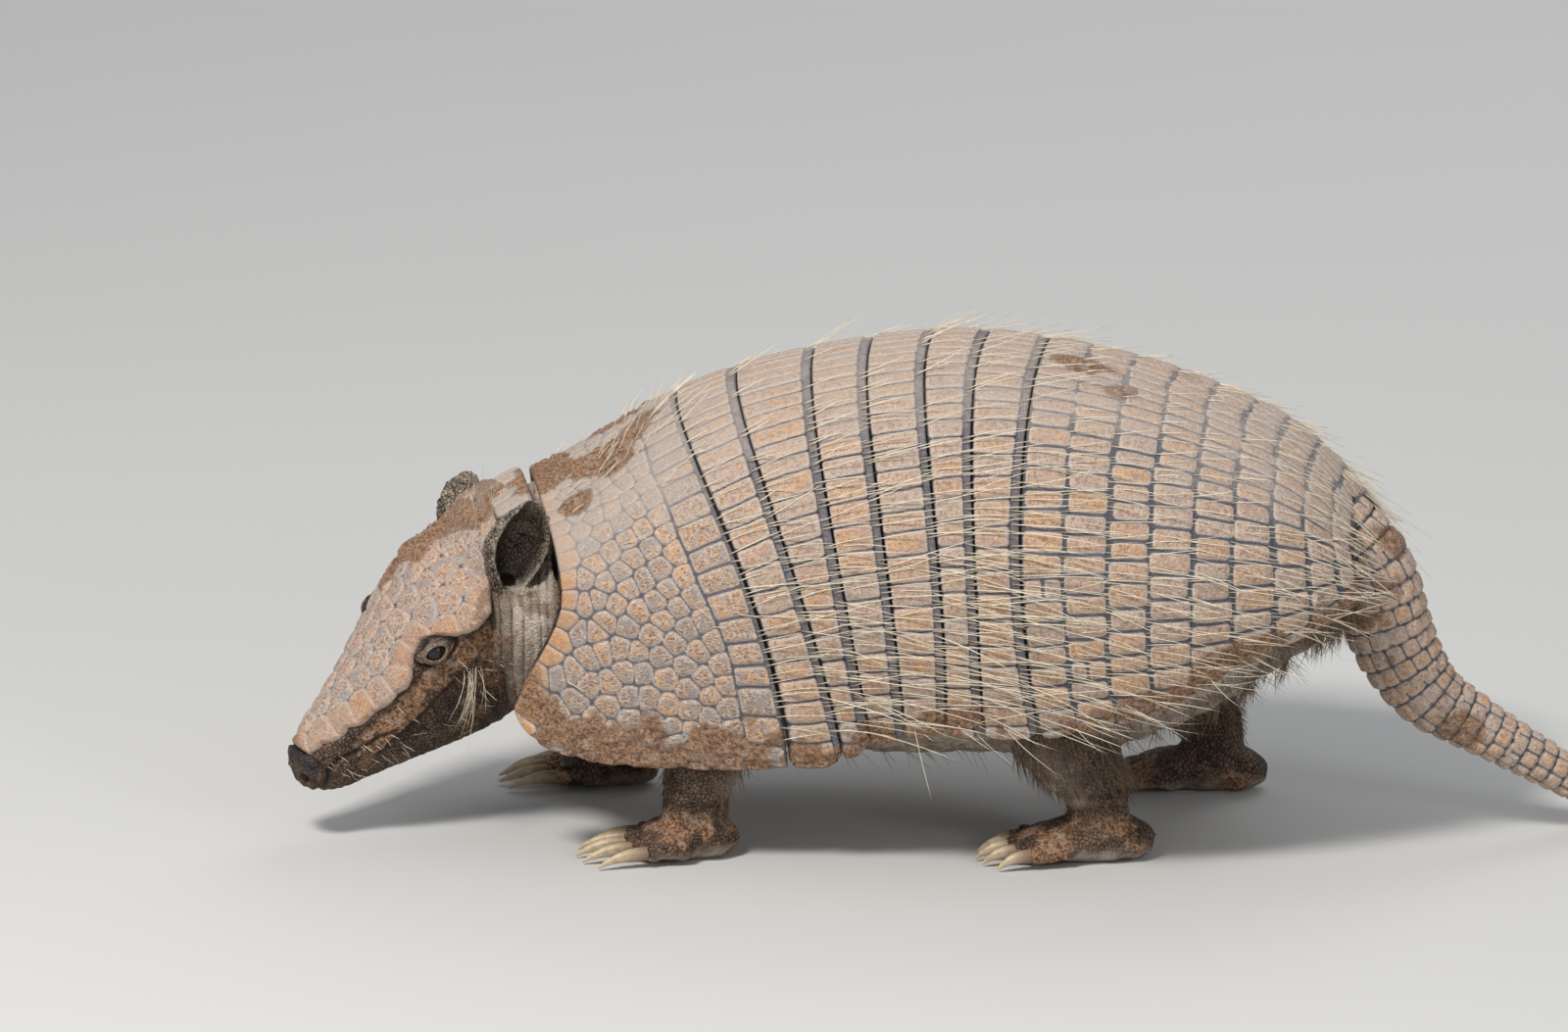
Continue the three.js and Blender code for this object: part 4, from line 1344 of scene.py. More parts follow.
def work_ears(skin):
    """Beaded ears, ribbed inside. Returns how far a point is on an ear, in its hollow, on its inner face and
    on its rim;
    the hollow and the inner face take painted shade, the inner face less towards its lit rear."""
    points, normals = skin.points, skin.normals
    ears, hollow, inside, rim = (np.zeros(len(points)) for _ in range(4))
    for ear in EARS.values():
        out, across = ear_frame(ear)[3:]
        t, x, y, away = ear_measure(ear, points)
        curl, radius = ear_cup(t)
        from_axis = np.hypot(x, y - np.cos(curl) * radius)
        in_cup = smooth(radius - from_axis, -3.0, 0.0) * smooth(t, 0.0, 0.14) * smooth(t, 1.08, 1.0)
        hollow = np.maximum(hollow, in_cup * smooth(away, 24, 20))
        in_wall = np.abs(from_axis - radius + EAR_WALL / 2) < 3.2
        on_ear = (t > 0.02) & (t < 1.08) & in_wall & (away < 22)
        face = np.stack([x, y - np.cos(curl) * radius], -1) / np.maximum(from_axis, 1e-6)[:, None]
        facing = (normals @ across) * face[:, 0] + (normals @ out) * face[:, 1]
        share = smooth(t, 0.0, 0.12)
        ears = np.maximum(ears, on_ear * share)
        rear = smooth(x * np.sign(across[0]), -3.5, 4.5)
        # Painted shade on the cup's inner face, weaker on the rear wall, where light reaches.
        inner = on_ear * smooth(facing, 0.25, -0.35) * share * lerp(1, 0.4, rear)
        inside = np.maximum(inside, inner)
        rim = np.maximum(rim, on_ear * share * (1 - np.abs(smooth(facing, -0.8, 0.8) * 2 - 1)))
        bead = pebbles(points, 2.0, 67)
        skin.push += on_ear * share * np.where(facing > 0, 0.7 * bead - 0.25, 0.1 * bead)
        skin.push += on_ear * share * rim * 0.5 * pebbles(points, 1.4, 68)
        # Painted shade in the gaps between the beads.
        skin.crease_shade += on_ear * share * (facing > -0.3) * 0.75 * smooth(bead, 0.25, 0.05)
        rib = np.abs(np.sin(np.arctan2(x, -(y - np.cos(curl) * radius)) * 3.2)) ** 2
        lined = on_ear * (facing < -0.2) * smooth(t, 0.05, 0.25) * smooth(t, 0.95, 0.7)
        skin.push += lined * 0.5 * rib
    return ears, hollow, inside, rim


def work_neck(skin, bare):
    """Folds round the neck, where it is bare of ears. Returns them."""
    x, _, z = skin.points.T
    folds = smooth(x, -163, -156) * smooth(x, -136, -141) * smooth(z, 40, 52) * bare
    wander = x + 2.2 * noise(skin.points * (1, 0.35, 0.35), 12, 62) + 0.06 * (z - 80)
    skin.press(folds, waves(wander, 3.4, 0.7), 1.1, 0.7, 0.85, 0.50, 0.15)
    return folds


def work_belly(skin):
    """Soft folds across the belly. Returns it."""
    x, _, z = skin.points.T
    flesh = smooth(-skin.normals[:, 2], 0.1, 0.7) * smooth(z, 92, 70) * smooth(x, -130, -118)
    skin.press(flesh, waves(x + 2 * noise(skin.points, 16, 69), 12, 0.8), 0.9, 0.5, 0.3, 0.3, 0.05)
    return flesh


def sculpt(points, normals):
    """Folds, creases and regions of the skin. Returns the moved points and the values painted on them,
    painted shade in the creases among them.
    """
    skin = Relief(points, normals)
    over = work_muzzle(skin)
    pad = work_nose(skin)
    cheek = work_throat_and_cheeks(skin)
    work_limbs(skin)
    ears, hollow, inside, rim = work_ears(skin)
    bare = 1 - np.maximum(ears, hollow)
    folds = work_neck(skin, bare)
    flesh = work_belly(skin)
    on_floor = points[:, 2] < 1.2
    along, up = skin.along, skin.up
    front = np.maximum(smooth(normals @ HEAD_PLACE[:3, 0], 0.45, 0.9), smooth(along, 122.0, 125.0))
    pale = smooth(points[:, 0], -157, -152) * smooth(points[:, 2], 44, 56)
    grey = np.clip(folds * np.maximum(0.6 * smooth(points[:, 2], 62, 78), pale) + 0.75 * flesh, 0, 1)
    feet = smooth(points[:, 2], 26, 12)
    # Soil on the malar bulge, partly real dirt and partly painted light that lightens the lit bulge.
    bulge_soil_and_light = skin.on_head * smooth(along, 34, 46) * smooth(along, 112, 100) * over * smooth(up, -8, -12)
    soil = feet * smooth(noise(points, 11, 70, 3), -0.35, 0.4)
    for where, size, seed, octaves, low, high in (
        (0.6 * cheek, 9, 71, 3, 0.1, 0.5), (0.9 * bulge_soil_and_light, 8, 74, 3, -0.8, -0.1),
        (0.5 * pad * front, 3, 75, 2, -0.3, 0.4),
    ):
        soil = np.maximum(soil, where * smooth(noise(points, size, seed, octaves), low, high))
    in_folds = folds * 0.6 * smooth(noise(points, 9, 72, 3), 0.15, 0.5) * smooth(points[:, 2], 120, 105)
    soil = np.maximum(soil, in_folds)
    # Among these values, crease and inside are painted shade, and soil is real soil that also carries painted
    # light on the malar bulge.
    values = {
        "crease_shade": np.clip(skin.crease_shade, 0, 1), "ear": ears, "inside": np.maximum(inside, hollow * (1 - ears)),
        "rim": rim, "grey": grey, "soil": soil * bare, "nose": pad * (1 - 0.6 * front),
    }
    return points + normals * (skin.push * ~on_floor)[:, None], values


def skin_piece():
    """One skin over head, neck, ears, trunk, legs and feet."""
    bm = bmesh.new()
    front, rear = TRUNK_ENDS[0] + 0.1, TRUNK_ENDS[1] - 0.1
    add_tube(bm, lambda t, angle: trunk_point(lerp(front, rear, t), angle, 0.25), 96, 60)
    add_tube(bm, lambda t, angle: behind_ears(neck_section(t, angle)), 160, 44)
    add_tube(bm, lambda t, angle: behind_ears(under_shield(head_section(t, angle))), 140, 120)
    for ear in EARS.values():
        add_ear(bm, ear)
    for name in LEGS:
        add_tube(bm, leg_ring(name), 40, 30)
        for number, ring in enumerate(foot_rings(name)):
            add_tube(bm, ring, *((16, 10) if number else (28, 18)))
    root = limb_ring([((128, -13, 112), 20, 22), ((142, -17, 114), 15, 17), ((152, -19.5, 110), 13.5, 15)])
    add_tube(bm, root, 32, 8)
    hide = material("hide")
    made = new_object("skin", bm, hide)
    mesh = made.data
    put_places(mesh, magnify(places(mesh)))
    cell = sizes().skin_cell * 2000
    mesh = with_modifier(made, "REMESH", mode="VOXEL", voxel_size=cell, use_smooth_shade=True)
    points = relax(shrink_back(places(mesh)), read(mesh.edges, "vertices", 2, int), 4)
    points[:, 2] = np.maximum(points[:, 2], 0.0)
    put_places(mesh, points)
    bm = bmesh.new()
    bm.from_mesh(mesh)
    for reach in (11.5, 8.0):
        near = set()
        for side in (1, -1):
            centre, out = Vector(eye_centre(side)), Vector(eye_axes(side)[0])
            inside = {
                vert for vert in bm.verts
                if (vert.co - centre).length < reach and (vert.co - centre).dot(out) > -3
            }
            near |= {edge for edge in bm.edges if inside.issuperset(edge.verts)}
        bmesh.ops.subdivide_edges(bm, edges=list(near), cuts=1, use_grid_fill=True)
    bmesh.ops.triangulate(bm, faces=[face for face in bm.faces if len(face.verts) > 4])
    bm.to_mesh(mesh)
    bm.free()
    points, values = sculpt(places(mesh), normals_of(mesh))
    lids = np.full(len(points), FAR)
    for side in (1, -1):
        points, lid = socket(points, side)
        lids = np.minimum(lids, lid)
    points[:, 2] = np.maximum(points[:, 2], 0.0)
    values["lid"] = lids
    put_places(mesh, to_frame(points))
    put_values(mesh, **values)
    shade_smooth(mesh)
    mesh.materials.clear()
    mesh.materials.append(hide)
    limbs = [f"{part}_{name}" for part in ("leg", "foot") for name in LEGS]
    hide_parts("head", "neck", "trunk", "ear_left", "ear_right", *limbs)
    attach(made, "root")


# ---------------------------------------------------------------- bristles, whiskers and hair


HAIR_ROOM = 10.0  # how far hair may stand out past the solids' box
HAIR_PATCH = 0.0026  # side of each hair's own patch on the unwrap


def hair_piece(name, finish, roots, ways, lengths, thickness, bends, spots, cuts=4):
    """Tapering three-sided hairs as one mesh. Bends carry each tip away from its straight line; spots are the
    places of the roots on an unwrap of the body, where each hair takes a small patch."""
    bm = bmesh.new()
    bmesh.ops.create_cone(
        bm, cap_ends=True, cap_tris=True, segments=3, radius1=1, radius2=0, depth=1,
        matrix=Matrix.Translation((0, 0, 0.5)),
    )
    bmesh.ops.remove_doubles(bm, verts=bm.verts, dist=1e-5)
    for cut in range(1, cuts + 1):
        parts = bm.verts[:] + bm.edges[:] + bm.faces[:]
        bmesh.ops.bisect_plane(bm, geom=parts, plane_co=(0, 0, cut / (cuts + 1)), plane_no=(0, 0, 1))
    made = new_object(name, bm, material(finish))
    one = places(made.data)
    count = len(roots)
    mesh = with_modifier(
        made, "ARRAY", fit_type="FIXED_COUNT", count=count, use_relative_offset=False,
        use_constant_offset=True, constant_offset_displace=(0, 0, 0),
    )
    height = one[:, 2]
    turn = np.arctan2(one[:, 1], one[:, 0])
    taper = np.sqrt(np.maximum(1 - height**1.6, 0))
    gone = lengths[:, None] * (ways + bends)
    low, high = np.array(CAD_BOX) * 1000 - SHIFT + np.array([[-HAIR_ROOM], [HAIR_ROOM]])
    room = (np.where(gone > 0, high, low) - roots) / gone
    lengths = lengths * np.clip(room.min(1), 0.3, 1)
    aside = unit(np.cross(ways, np.array([0.31, 0.52, 0.79])))
    over = np.cross(ways, aside)
    rise = height[None, :, None]
    reach = lengths[:, None, None]
    line = roots[:, None] + reach * (ways[:, None] * rise + bends[:, None] * rise**2)
    round_ = aside[:, None] * np.cos(turn)[None, :, None] + over[:, None] * np.sin(turn)[None, :, None]
    points = line + round_ * (taper[None, :] * thickness[:, None] / 2)[..., None]
    points = points.reshape(-1, 3)
    points[:, 2] = np.maximum(points[:, 2], 0.15)
    put_places(mesh, to_frame(points))
    tint = np.repeat(random(count).random(count), len(one))
    put_values(mesh, tint=tint, tip=np.tile(height, count))
    patch = np.stack([HAIR_PATCH * (height - 0.5), HAIR_PATCH * turn / (2 * math.pi)], -1)
    put_map(mesh, "OFBake", np.clip((spots[:, None] + patch[None]).reshape(-1, 2), 0, 1))
    shade_smooth(mesh)
    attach(made, "root")


def shell_spot(s, angle):
    """Place on the unwrapped shell, in the upper part of the map."""
    return np.stack([lerp(0.01, 0.99, (s + 165) / 325), lerp(0.42, 0.99, (angle / EDGE_ANGLE + 1) / 2)], -1)


def skin_spot(points):
    """Place on the unwrapped skin: round the body's length below, and one strip for each leg."""
    x, y, z = points.T
    turn = (np.arctan2(y + 8, z - 80) / (2 * math.pi) + 0.5) % 1
    body = np.stack([lerp(0.01, 0.99, (x + 290) / 450), lerp(0.21, 0.40, turn)], -1)
    for number, (joints, _, _) in enumerate(LEGS.values()):
        cx, cy, _ = joints[2]
        round_ = (np.arctan2(y - cy, x - cx) / (2 * math.pi) + 0.5) % 1
        up = lerp(0.005, 0.19, np.clip(z / 62, 0, 1))
        leg = np.stack([(number + 0.02 + 0.96 * round_) / 4, up], -1)
        near = (np.hypot(x - cx, y - cy) < 45) & (z < 55)
        body = np.where(near[:, None], leg, body)
    return body


def bristles_from_rows(rows, seed):
    """Roots and directions of the bristles behind rows of scutes: (rear, strip, pitch, mean length)."""
    rng = random(seed)
    found = []
    for rear, strip, pitch, mean in rows:
        angles, arc, _, square = station_table(rear - 1)
        count = int((arc[-1] - arc[0]) / pitch)
        gone = arc[0] + (np.arange(count) + rng.uniform(0.05, 0.95, count)) * pitch
        at = np.interp(gone, arc, angles)
        high = np.cos(at) * 0.5 + 0.5
        at = at[rng.random(count) > 0.85 * high**4 + 0.5 * smooth(np.abs(at), 1.75, 1.95)]
        at = at[np.abs(at) < EDGE_ANGLE - 0.085]
        s = rear - (strip + 0.5 + rng.uniform(-0.5, 0.3, len(at))) / np.interp(at, angles, square)
        reach = rng.normal(mean, mean * 0.25, len(at)) * lerp(0.75, 1.3, smooth(np.abs(at), 0.4, 1.5))
        found.append(np.stack([s, at, reach, np.full(len(at), rear)], -1))
    s, at, lengths, rear = np.concatenate(found).T
    here, out, _ = shell_frames(s, at)
    lift = np.interp(rear, [-94, -60, -10, 40, 100, 156], [17, 13, 4, -1, -5, -10]) + rng.normal(0, 7, len(s))
    lift = np.radians(lift * np.clip(1.6 * np.abs(out[:, 1]), 0, 1))
    back = np.stack([np.cos(lift), 0.10 * rng.normal(0, 1, len(s)), np.sin(lift)], -1)
    back = unit(back - out * (back * out).sum(1, keepdims=True))
    stand = np.radians(rng.normal(10, 4, len(s)).clip(4, 24) + 7 * np.maximum(out[:, 2], 0) ** 2)
    ways = unit(back * np.cos(stand)[:, None] + out * np.sin(stand)[:, None])
    bends = rng.normal(0, 0.05, (len(s), 3)) + np.array([0, 0, -0.07])
    bends += out * 0.03
    lengths = np.clip(lengths, 6, 42)
    return here - out * 0.6, ways, lengths, bends, shell_spot(s, at)


def rows_of_bristles(name, rows, seed, thickness):
    """One piece of bristles from its rows."""
    roots, ways, lengths, bends, spots = bristles_from_rows(rows, seed)
    thick = thickness * random(seed + 1).uniform(0.75, 1.15, len(roots))
    hair_piece(name, "bristle", roots, ways, lengths, thick, bends, spots)


def shell_bristles():
    """Bristles behind the scutes of bands and pelvic shield, and sparse short ones over the shoulders."""
    size = sizes()
    band, strip, thickness = size.bristle * 1000, size.strip * 1000, size.bristle_thickness
    rows = [(GROOVES[i + 1], strip, 1.8, band * (0.80 + 0.07 * i)) for i in range(6)]
    rows.append((GROOVES[0], 1.6, 2.4, band * 0.7))
    rows_of_bristles("band_bristles", rows, 501, thickness * 1000)
    rows = [(rear, 0.6, 2.1, band * 0.68) for rear in PELVIC_ROWS[1:]]
    rows_of_bristles("pelvic_bristles", rows, 503, thickness * 900)
    rng = random(505)
    count = 110
    s = rng.uniform(-140, -96, count)
    at = rng.normal(0, 0.75, count).clip(-2.2, 2.2)
    keep = rng.random(count) < 0.35 + 0.65 * (np.abs(at) < 0.45)
    s, at = s[keep], at[keep]
    here, out, along = shell_frames(s, at)
    ways = unit(along + out * rng.uniform(0.25, 0.75, (len(s), 1)) + rng.normal(0, 0.1, (len(s), 3)))
    lengths = rng.uniform(7, 17, len(s))
    bends = rng.normal(0, 0.07, (len(s), 3))
    thick, spots = np.full(len(s), thickness * 850), shell_spot(s, at)
    hair_piece("shoulder_bristles", "bristle", here - out * 0.6, ways, lengths, thick, bends, spots, 3)


def margin_hair():
    """Thin curved hair under the shell's lower margin."""
    rng = random(511)
    count = 70
    s = rng.uniform(-20, 146, count)
    edge = EDGE_ANGLE - 0.1
    at = np.where(rng.random(count) < 0.5, edge, -edge)
    here = shell_point(s, at, rng.uniform(0.5, 3.0, count))
    _, out, along = shell_frames(s, at)
    down = np.stack([np.zeros(count), 0.35 * out[:, 1], -np.ones(count)], -1)
    ways = unit(along * rng.uniform(0.5, 1.8, (count, 1)) + down + rng.normal(0, 0.2, (count, 3)))
    lengths = rng.uniform(12, 30, count)
    bends = rng.normal(0, 0.12, (count, 3)) + np.array([0.25, 0, 0.1])
    thick = rng.uniform(0.24, 0.38, count)
    hair_piece("margin_hair", "bristle", here, ways, lengths, thick, bends, shell_spot(s, at))


def skin_roots(count, seed, weight):
    """Roots on the skin, more where weight(points, normals) is high: places and normals."""
    mesh = bpy.data.objects["skin"].data
    points, out = places(mesh) * 1000 - SHIFT, normals_of(mesh)
    area, faces = np.zeros(len(points)), read(mesh.polygons, "area")
    sides = read(mesh.polygons, "loop_total", kind=int)
    np.add.at(area, read(mesh.loops, "vertex_index", kind=int), np.repeat(faces / sides, sides))
    share = area * weight(points, out)
    rng = random(seed)
    picked = rng.choice(len(points), count, replace=False, p=share / share.sum())
    return points[picked], out[picked], rng


def limb_hair():
    """Short brown fur on the limbs and sparse hair on the belly."""
    least = 1e-12  # keeps every root possible, as a draw without repeats needs

    def on_limbs(points, out):
        x, _, z = points.T
        hind, fore, edge = smooth(x, 10, 35), smooth(x, -50, -70), edge_height(x)
        upright = (np.abs(out[:, 2]) < 0.75) * (hind + 0.25 * fore) * (x > -132)
        return smooth(z, 16, 34) * smooth(z, edge + 8, edge - 6) * upright + least

    roots, out, rng = skin_roots(3600, 521, on_limbs)
    count = len(roots)
    down = np.tile([0.45, 0, -1.0], (count, 1)) + rng.normal(0, 0.18, (count, 3))
    down = unit(down - out * (down * out).sum(1, keepdims=True))
    stand = np.radians(rng.uniform(14, 34, count))[:, None]
    ways = unit(down * np.cos(stand) + out * np.sin(stand))
    lengths = rng.uniform(5, 11, count) * lerp(0.6, 1.25, smooth(roots[:, 2], 20, 50))
    bends = rng.normal(0, 0.06, (count, 3)) + np.array([0, 0, -0.1])
    thick = rng.uniform(0.18, 0.34, count)
    hair_piece("limb_fur", "brown fur", roots - out * 0.5, ways, lengths, thick, bends, skin_spot(roots), 3)

    def on_belly(points, out):
        low = smooth(out[:, 2], -0.1, -0.5) * (points[:, 2] > 26) * (points[:, 0] > -135)
        return low * smooth(points[:, 2], 90, 70) + least

    roots, out, rng = skin_roots(420, 531, on_belly)
    count = len(roots)
    ways = unit(np.tile([0.9, 0, -0.5], (count, 1)) + 0.4 * out + rng.normal(0, 0.25, (count, 3)))
    lengths = rng.uniform(5, 13, count)
    bends = rng.normal(0, 0.07, (count, 3)) + np.array([0, 0, -0.12])
    thick = rng.uniform(0.16, 0.26, count)
    hair_piece("belly_hair", "brown fur", roots - out * 0.5, ways, lengths, thick, bends, skin_spot(roots), 3)


def whiskers():
    """A pale tuft on each cheek, whiskers along the jaws, and short hair on the ears and behind the head."""
    surface = BVHTree.FromObject(bpy.data.objects["skin"], bpy.context.evaluated_depsgraph_get())

    def on_skin(point, seek):
        start = Vector(to_frame(point + seek * 25.0))
        hit = surface.ray_cast(start, Vector(-seek))
        return np.array(hit[0]) * 1000 - SHIFT if hit[0] else point

    rng = random(541)
    turn = HEAD_PLACE[:3, :3]
    hairs = []
    for side in (1, -1):
        out = turn @ np.array([0, side * 1.0, 0])
        for _ in range(15):
            spot = head_point(59.5 + rng.normal(0, 1.6), side * 30, -23.5 + rng.normal(0, 1.4))
            way = np.array([0.10, 0, -1.0]) + out * rng.uniform(0.3, 0.6) + rng.normal(0, 0.13, 3)
            long_, bend = rng.uniform(13, 27), rng.normal(0, 0.10, 3) + (-0.32, 0, -0.15)
            hairs.append((on_skin(spot, out), way, long_, bend))
        for _ in range(44):
            along = rng.uniform(44, 118)
            up = lerp(-12, -38, rng.random()) * lerp(1.25, 0.62, (along - 44) / 74)
            way = out * rng.uniform(0.4, 1) + turn @ np.array([-0.15, 0, -0.9]) + rng.normal(0, 0.25, 3)
            long_, bend = rng.uniform(3.0, 6.5), rng.normal(0, 0.1, 3) + (0, 0, -0.06)
            hairs.append((on_skin(head_point(along, side * 30, up), out), way, long_, bend))
        ear = EARS["left" if side > 0 else "right"]
        _, _, axis, open_, _ = ear_frame(ear)
        for _ in range(8):
            root = ear_point(ear, np.array(rng.uniform(0.0, 0.5)), np.array(rng.uniform(-0.9, 0.9)), 0.5)
            way = axis + open_ * rng.uniform(-0.2, 0.5) + rng.normal(0, 0.3, 3)
            hairs.append((root, way, rng.uniform(2.5, 6), rng.normal(0, 0.1, 3)))
    for _ in range(26):
        root = head_plate_point(rng.uniform(-2, 20), rng.uniform(-0.9, 0.9))
        way = turn @ np.array([-0.8, 0, 0.7]) + rng.normal(0, 0.15, 3)
        hairs.append((root, way, rng.uniform(5, 11), rng.normal(0, 0.08, 3)))
    roots, ways, lengths, bends = (np.array(item) for item in zip(*hairs))
    ways = unit(ways)
    thick = rng.uniform(0.18, 0.30, len(roots))
    hair_piece("whiskers", "bristle", roots - ways * 0.4, ways, lengths, thick, bends, skin_spot(roots))


# ---------------------------------------------------------------- shader groups and materials


def fill(tree, node, inputs):
    """Links a node's inputs to sockets, or sets them."""
    for key, value in inputs.items():
        if isinstance(value, bpy.types.NodeSocket):
            tree.links.new(value, node.inputs[key])
        else:
            node.inputs[key].default_value = value


def add(tree, kind, inputs=None, **settings):
    """A node with its settings and inputs."""
    made = tree.nodes.new("ShaderNode" + kind)
    for key, value in settings.items():
        setattr(made, key, value)
    fill(tree, made, inputs or {})
    return made


def maths(tree, operation, a, b=0.0, clamp=False):
    return add(tree, "Math", {0: a, 1: b}, operation=operation, use_clamp=clamp).outputs[0]


def times(tree, a, b):
    return maths(tree, "MULTIPLY", a, b)


def plus(tree, a, b, clamp=False):
    return maths(tree, "ADD", a, b, clamp)


def varied(tree, value, change, amount, clamp=False):
    """A value moved up and down by another that keeps about 0.5."""
    return plus(tree, value, times(tree, maths(tree, "SUBTRACT", change, 0.5), amount), clamp)


def ramp(tree, value, low, high, first=0.0, last=1.0):
    """A soft step of a value between two limits."""
    inputs = {"Value": value, "From Min": low, "From Max": high, "To Min": first, "To Max": last}
    return add(tree, "MapRange", inputs, interpolation_type="SMOOTHSTEP").outputs[0]


def blend(tree, share, a, b):
    return add(tree, "Mix", {0: share, 6: a, 7: b}, data_type="RGBA").outputs[2]


def grain(tree, vector, scale, detail=3.0, rough=0.55):
    inputs = {"Vector": vector, "Scale": scale, "Detail": detail, "Roughness": rough}
    return add(tree, "TexNoise", inputs).outputs[0]


def stretched(tree, vector, scale):
    return add(tree, "Mapping", {"Vector": vector, "Scale": scale}).outputs[0]


def drifted(tree, vector, place, scale, amount):
    """A vector carried a little way off by fine noise."""
    drift = add(tree, "TexNoise", {"Vector": place, "Scale": scale, "Detail": 2.0}).outputs[1]
    drift = add(tree, "VectorMath", {0: drift, "Scale": amount}, operation="SCALE").outputs[0]
    return add(tree, "VectorMath", {0: vector, 1: drift}, operation="ADD").outputs[0]


def value_of(tree, name):
    return add(tree, "Attribute", attribute_name=name).outputs["Fac"]


def group(name, inputs, outputs):
    """A shader node group with named sockets: (its tree, its input sockets by name, its output node)."""
    tree = bpy.data.node_groups.new(name, "ShaderNodeTree")
    kinds = {"f": "NodeSocketFloat", "c": "NodeSocketColor", "v": "NodeSocketVector"}
    for key, kind in inputs:
        tree.interface.new_socket(key, in_out="INPUT", socket_type=kinds[kind])
    for key, kind in outputs:
        tree.interface.new_socket(key, in_out="OUTPUT", socket_type=kinds[kind])
    start, end = tree.nodes.new("NodeGroupInput"), tree.nodes.new("NodeGroupOutput")
    return tree, start.outputs, end


def use(tree, name, inputs):
    made = add(tree, "Group", node_tree=bpy.data.node_groups[name])
    fill(tree, made, inputs)
    return made.outputs


def close_group(tree, end, **outputs):
    for key, source in outputs.items():
        tree.links.new(source, end.inputs[key])


SCUTE_COLOURS = ("Tan", "Orange", "Pink", "Brown", "Pale")


def make_scute_group():
    """Colour, roughness and height of horn scutes from their edge distance and per-scute values, with a black
    line of painted shade deep in each groove.
    """
    tree, given, end = group(
        "scute finish",
        [
            ("Place", "v"), ("Plate", "v"), ("Edge", "f"), ("Tint", "f"), ("Bright", "f"),
            *((key, "c") for key in SCUTE_COLOURS), ("Grey", "c"), ("Shade black", "c"),
            ("Streaks", "f"), ("Mottle", "f"), ("Groove", "f"), ("Rim", "f"), ("Deep shade", "f"),
        ],
        [("Colour", "c"), ("Roughness", "f"), ("Height", "f")],
    )
    place, edge = given["Place"], given["Edge"]
    broad = grain(tree, place, 38, 3)
    fine = grain(tree, place, 620, 4, 0.65)
    finer = grain(tree, place, 1500, 2, 0.6)
    streak = grain(tree, stretched(tree, given["Plate"], (16, 150, 1)), 1.0, 4, 0.7)
    warm = add(tree, "Math", {0: broad, 1: 1.1, 2: -0.15}, operation="MULTIPLY_ADD").outputs[0]
    warm = varied(tree, warm, given["Tint"], 1.1, True)
    base = blend(tree, warm, given["Tan"], given["Orange"])
    base = blend(tree, times(tree, ramp(tree, streak, 0.48, 0.68), given["Streaks"]), base, given["Pale"])
    base = blend(tree, times(tree, ramp(tree, streak, 0.48, 0.28), given["Streaks"]), base, given["Pink"])
    mottled = ramp(tree, fine, 0.47, 0.60)
    base = blend(tree, times(tree, mottled, given["Mottle"]), base, given["Brown"])
    flat = stretched(tree, drifted(tree, given["Plate"], place, 480.0, 0.026), (52, 80, 1))
    settings = {"feature": "DISTANCE_TO_EDGE", "voronoi_dimensions": "2D"}
    web = add(tree, "TexVoronoi", {"Vector": flat, "Scale": 1.0}, **settings).outputs["Distance"]
    webbed = ramp(tree, web, 0.20, 0.05)
    webs = times(tree, webbed, times(tree, given["Mottle"], 0.72))
    base = blend(tree, webs, base, given["Pale"])
    blotch = ramp(tree, grain(tree, place, 210, 3, 0.6), 0.50, 0.64)
    blotch = times(tree, blotch, times(tree, given["Mottle"], 0.75))
    base = blend(tree, blotch, base, given["Pink"])
    base = blend(tree, times(tree, given["Bright"], 0.55), base, given["Orange"])
    wander = varied(tree, edge, fine, 0.9)
    ring = times(tree, ramp(tree, wander, 0.45, 0.85), ramp(tree, wander, 2.1, 0.9))
    base = blend(tree, times(tree, ring, given["Rim"]), base, given["Pale"])
    width = varied(tree, given["Groove"], finer, 0.35)
    in_groove = ramp(tree, maths(tree, "SUBTRACT", edge, width), 0.22, -0.15)
    base = blend(tree, in_groove, base, given["Grey"])
    # Painted shade: a black line deep in each groove, standing for the shadow there.
    deep_shade = ramp(tree, maths(tree, "SUBTRACT", edge, times(tree, width, 0.38)), 0.16, -0.1)
    base = blend(tree, times(tree, deep_shade, given["Deep shade"]), base, given["Shade black"])
    rough = ramp(tree, fine, 0.3, 0.7, 0.62, 0.85)
    height = times(tree, fine, 0.6)
    for part, share in ((streak, 0.5), (finer, 0.3), (webbed, 0.6)):
        height = plus(tree, height, times(tree, part, share))
    close_group(tree, end, Colour=base, Roughness=rough, Height=height)


def make_dirt_group():
    """Pale dust and crumbled soil over any colour."""
    tree, given, end = group(
        "dust and soil",
        [
            ("Place", "v"), ("Colour", "c"), ("Dust", "f"), ("Soil", "f"), ("Dust colour", "c"), ("Dry", "c"),
            ("Damp", "c"),
        ],
        [("Colour", "c"), ("Height", "f")],
    )
    place = given["Place"]
    crumbs = grain(tree, place, 760, 5, 0.75)
    lumps = grain(tree, place, 240, 3, 0.6)
    dusty = times(tree, ramp(tree, varied(tree, given["Dust"], lumps, 0.9), 0.15, 1.15), 0.62)
    base = blend(tree, dusty, given["Colour"], given["Dust colour"])
    earth = blend(tree, ramp(tree, crumbs, 0.55, 0.43), given["Dry"], given["Damp"])
    earth = blend(tree, ramp(tree, lumps, 0.50, 0.72, 0, 0.45), earth, given["Dust colour"])
    cover = varied(tree, varied(tree, given["Soil"], crumbs, 1.5), lumps, 0.8)
    covered = times(tree, ramp(tree, cover, 0.25, 0.85), 0.92)
    base = blend(tree, covered, base, earth)
    close_group(tree, end, Colour=base, Height=times(tree, times(tree, crumbs, covered), 2.6))


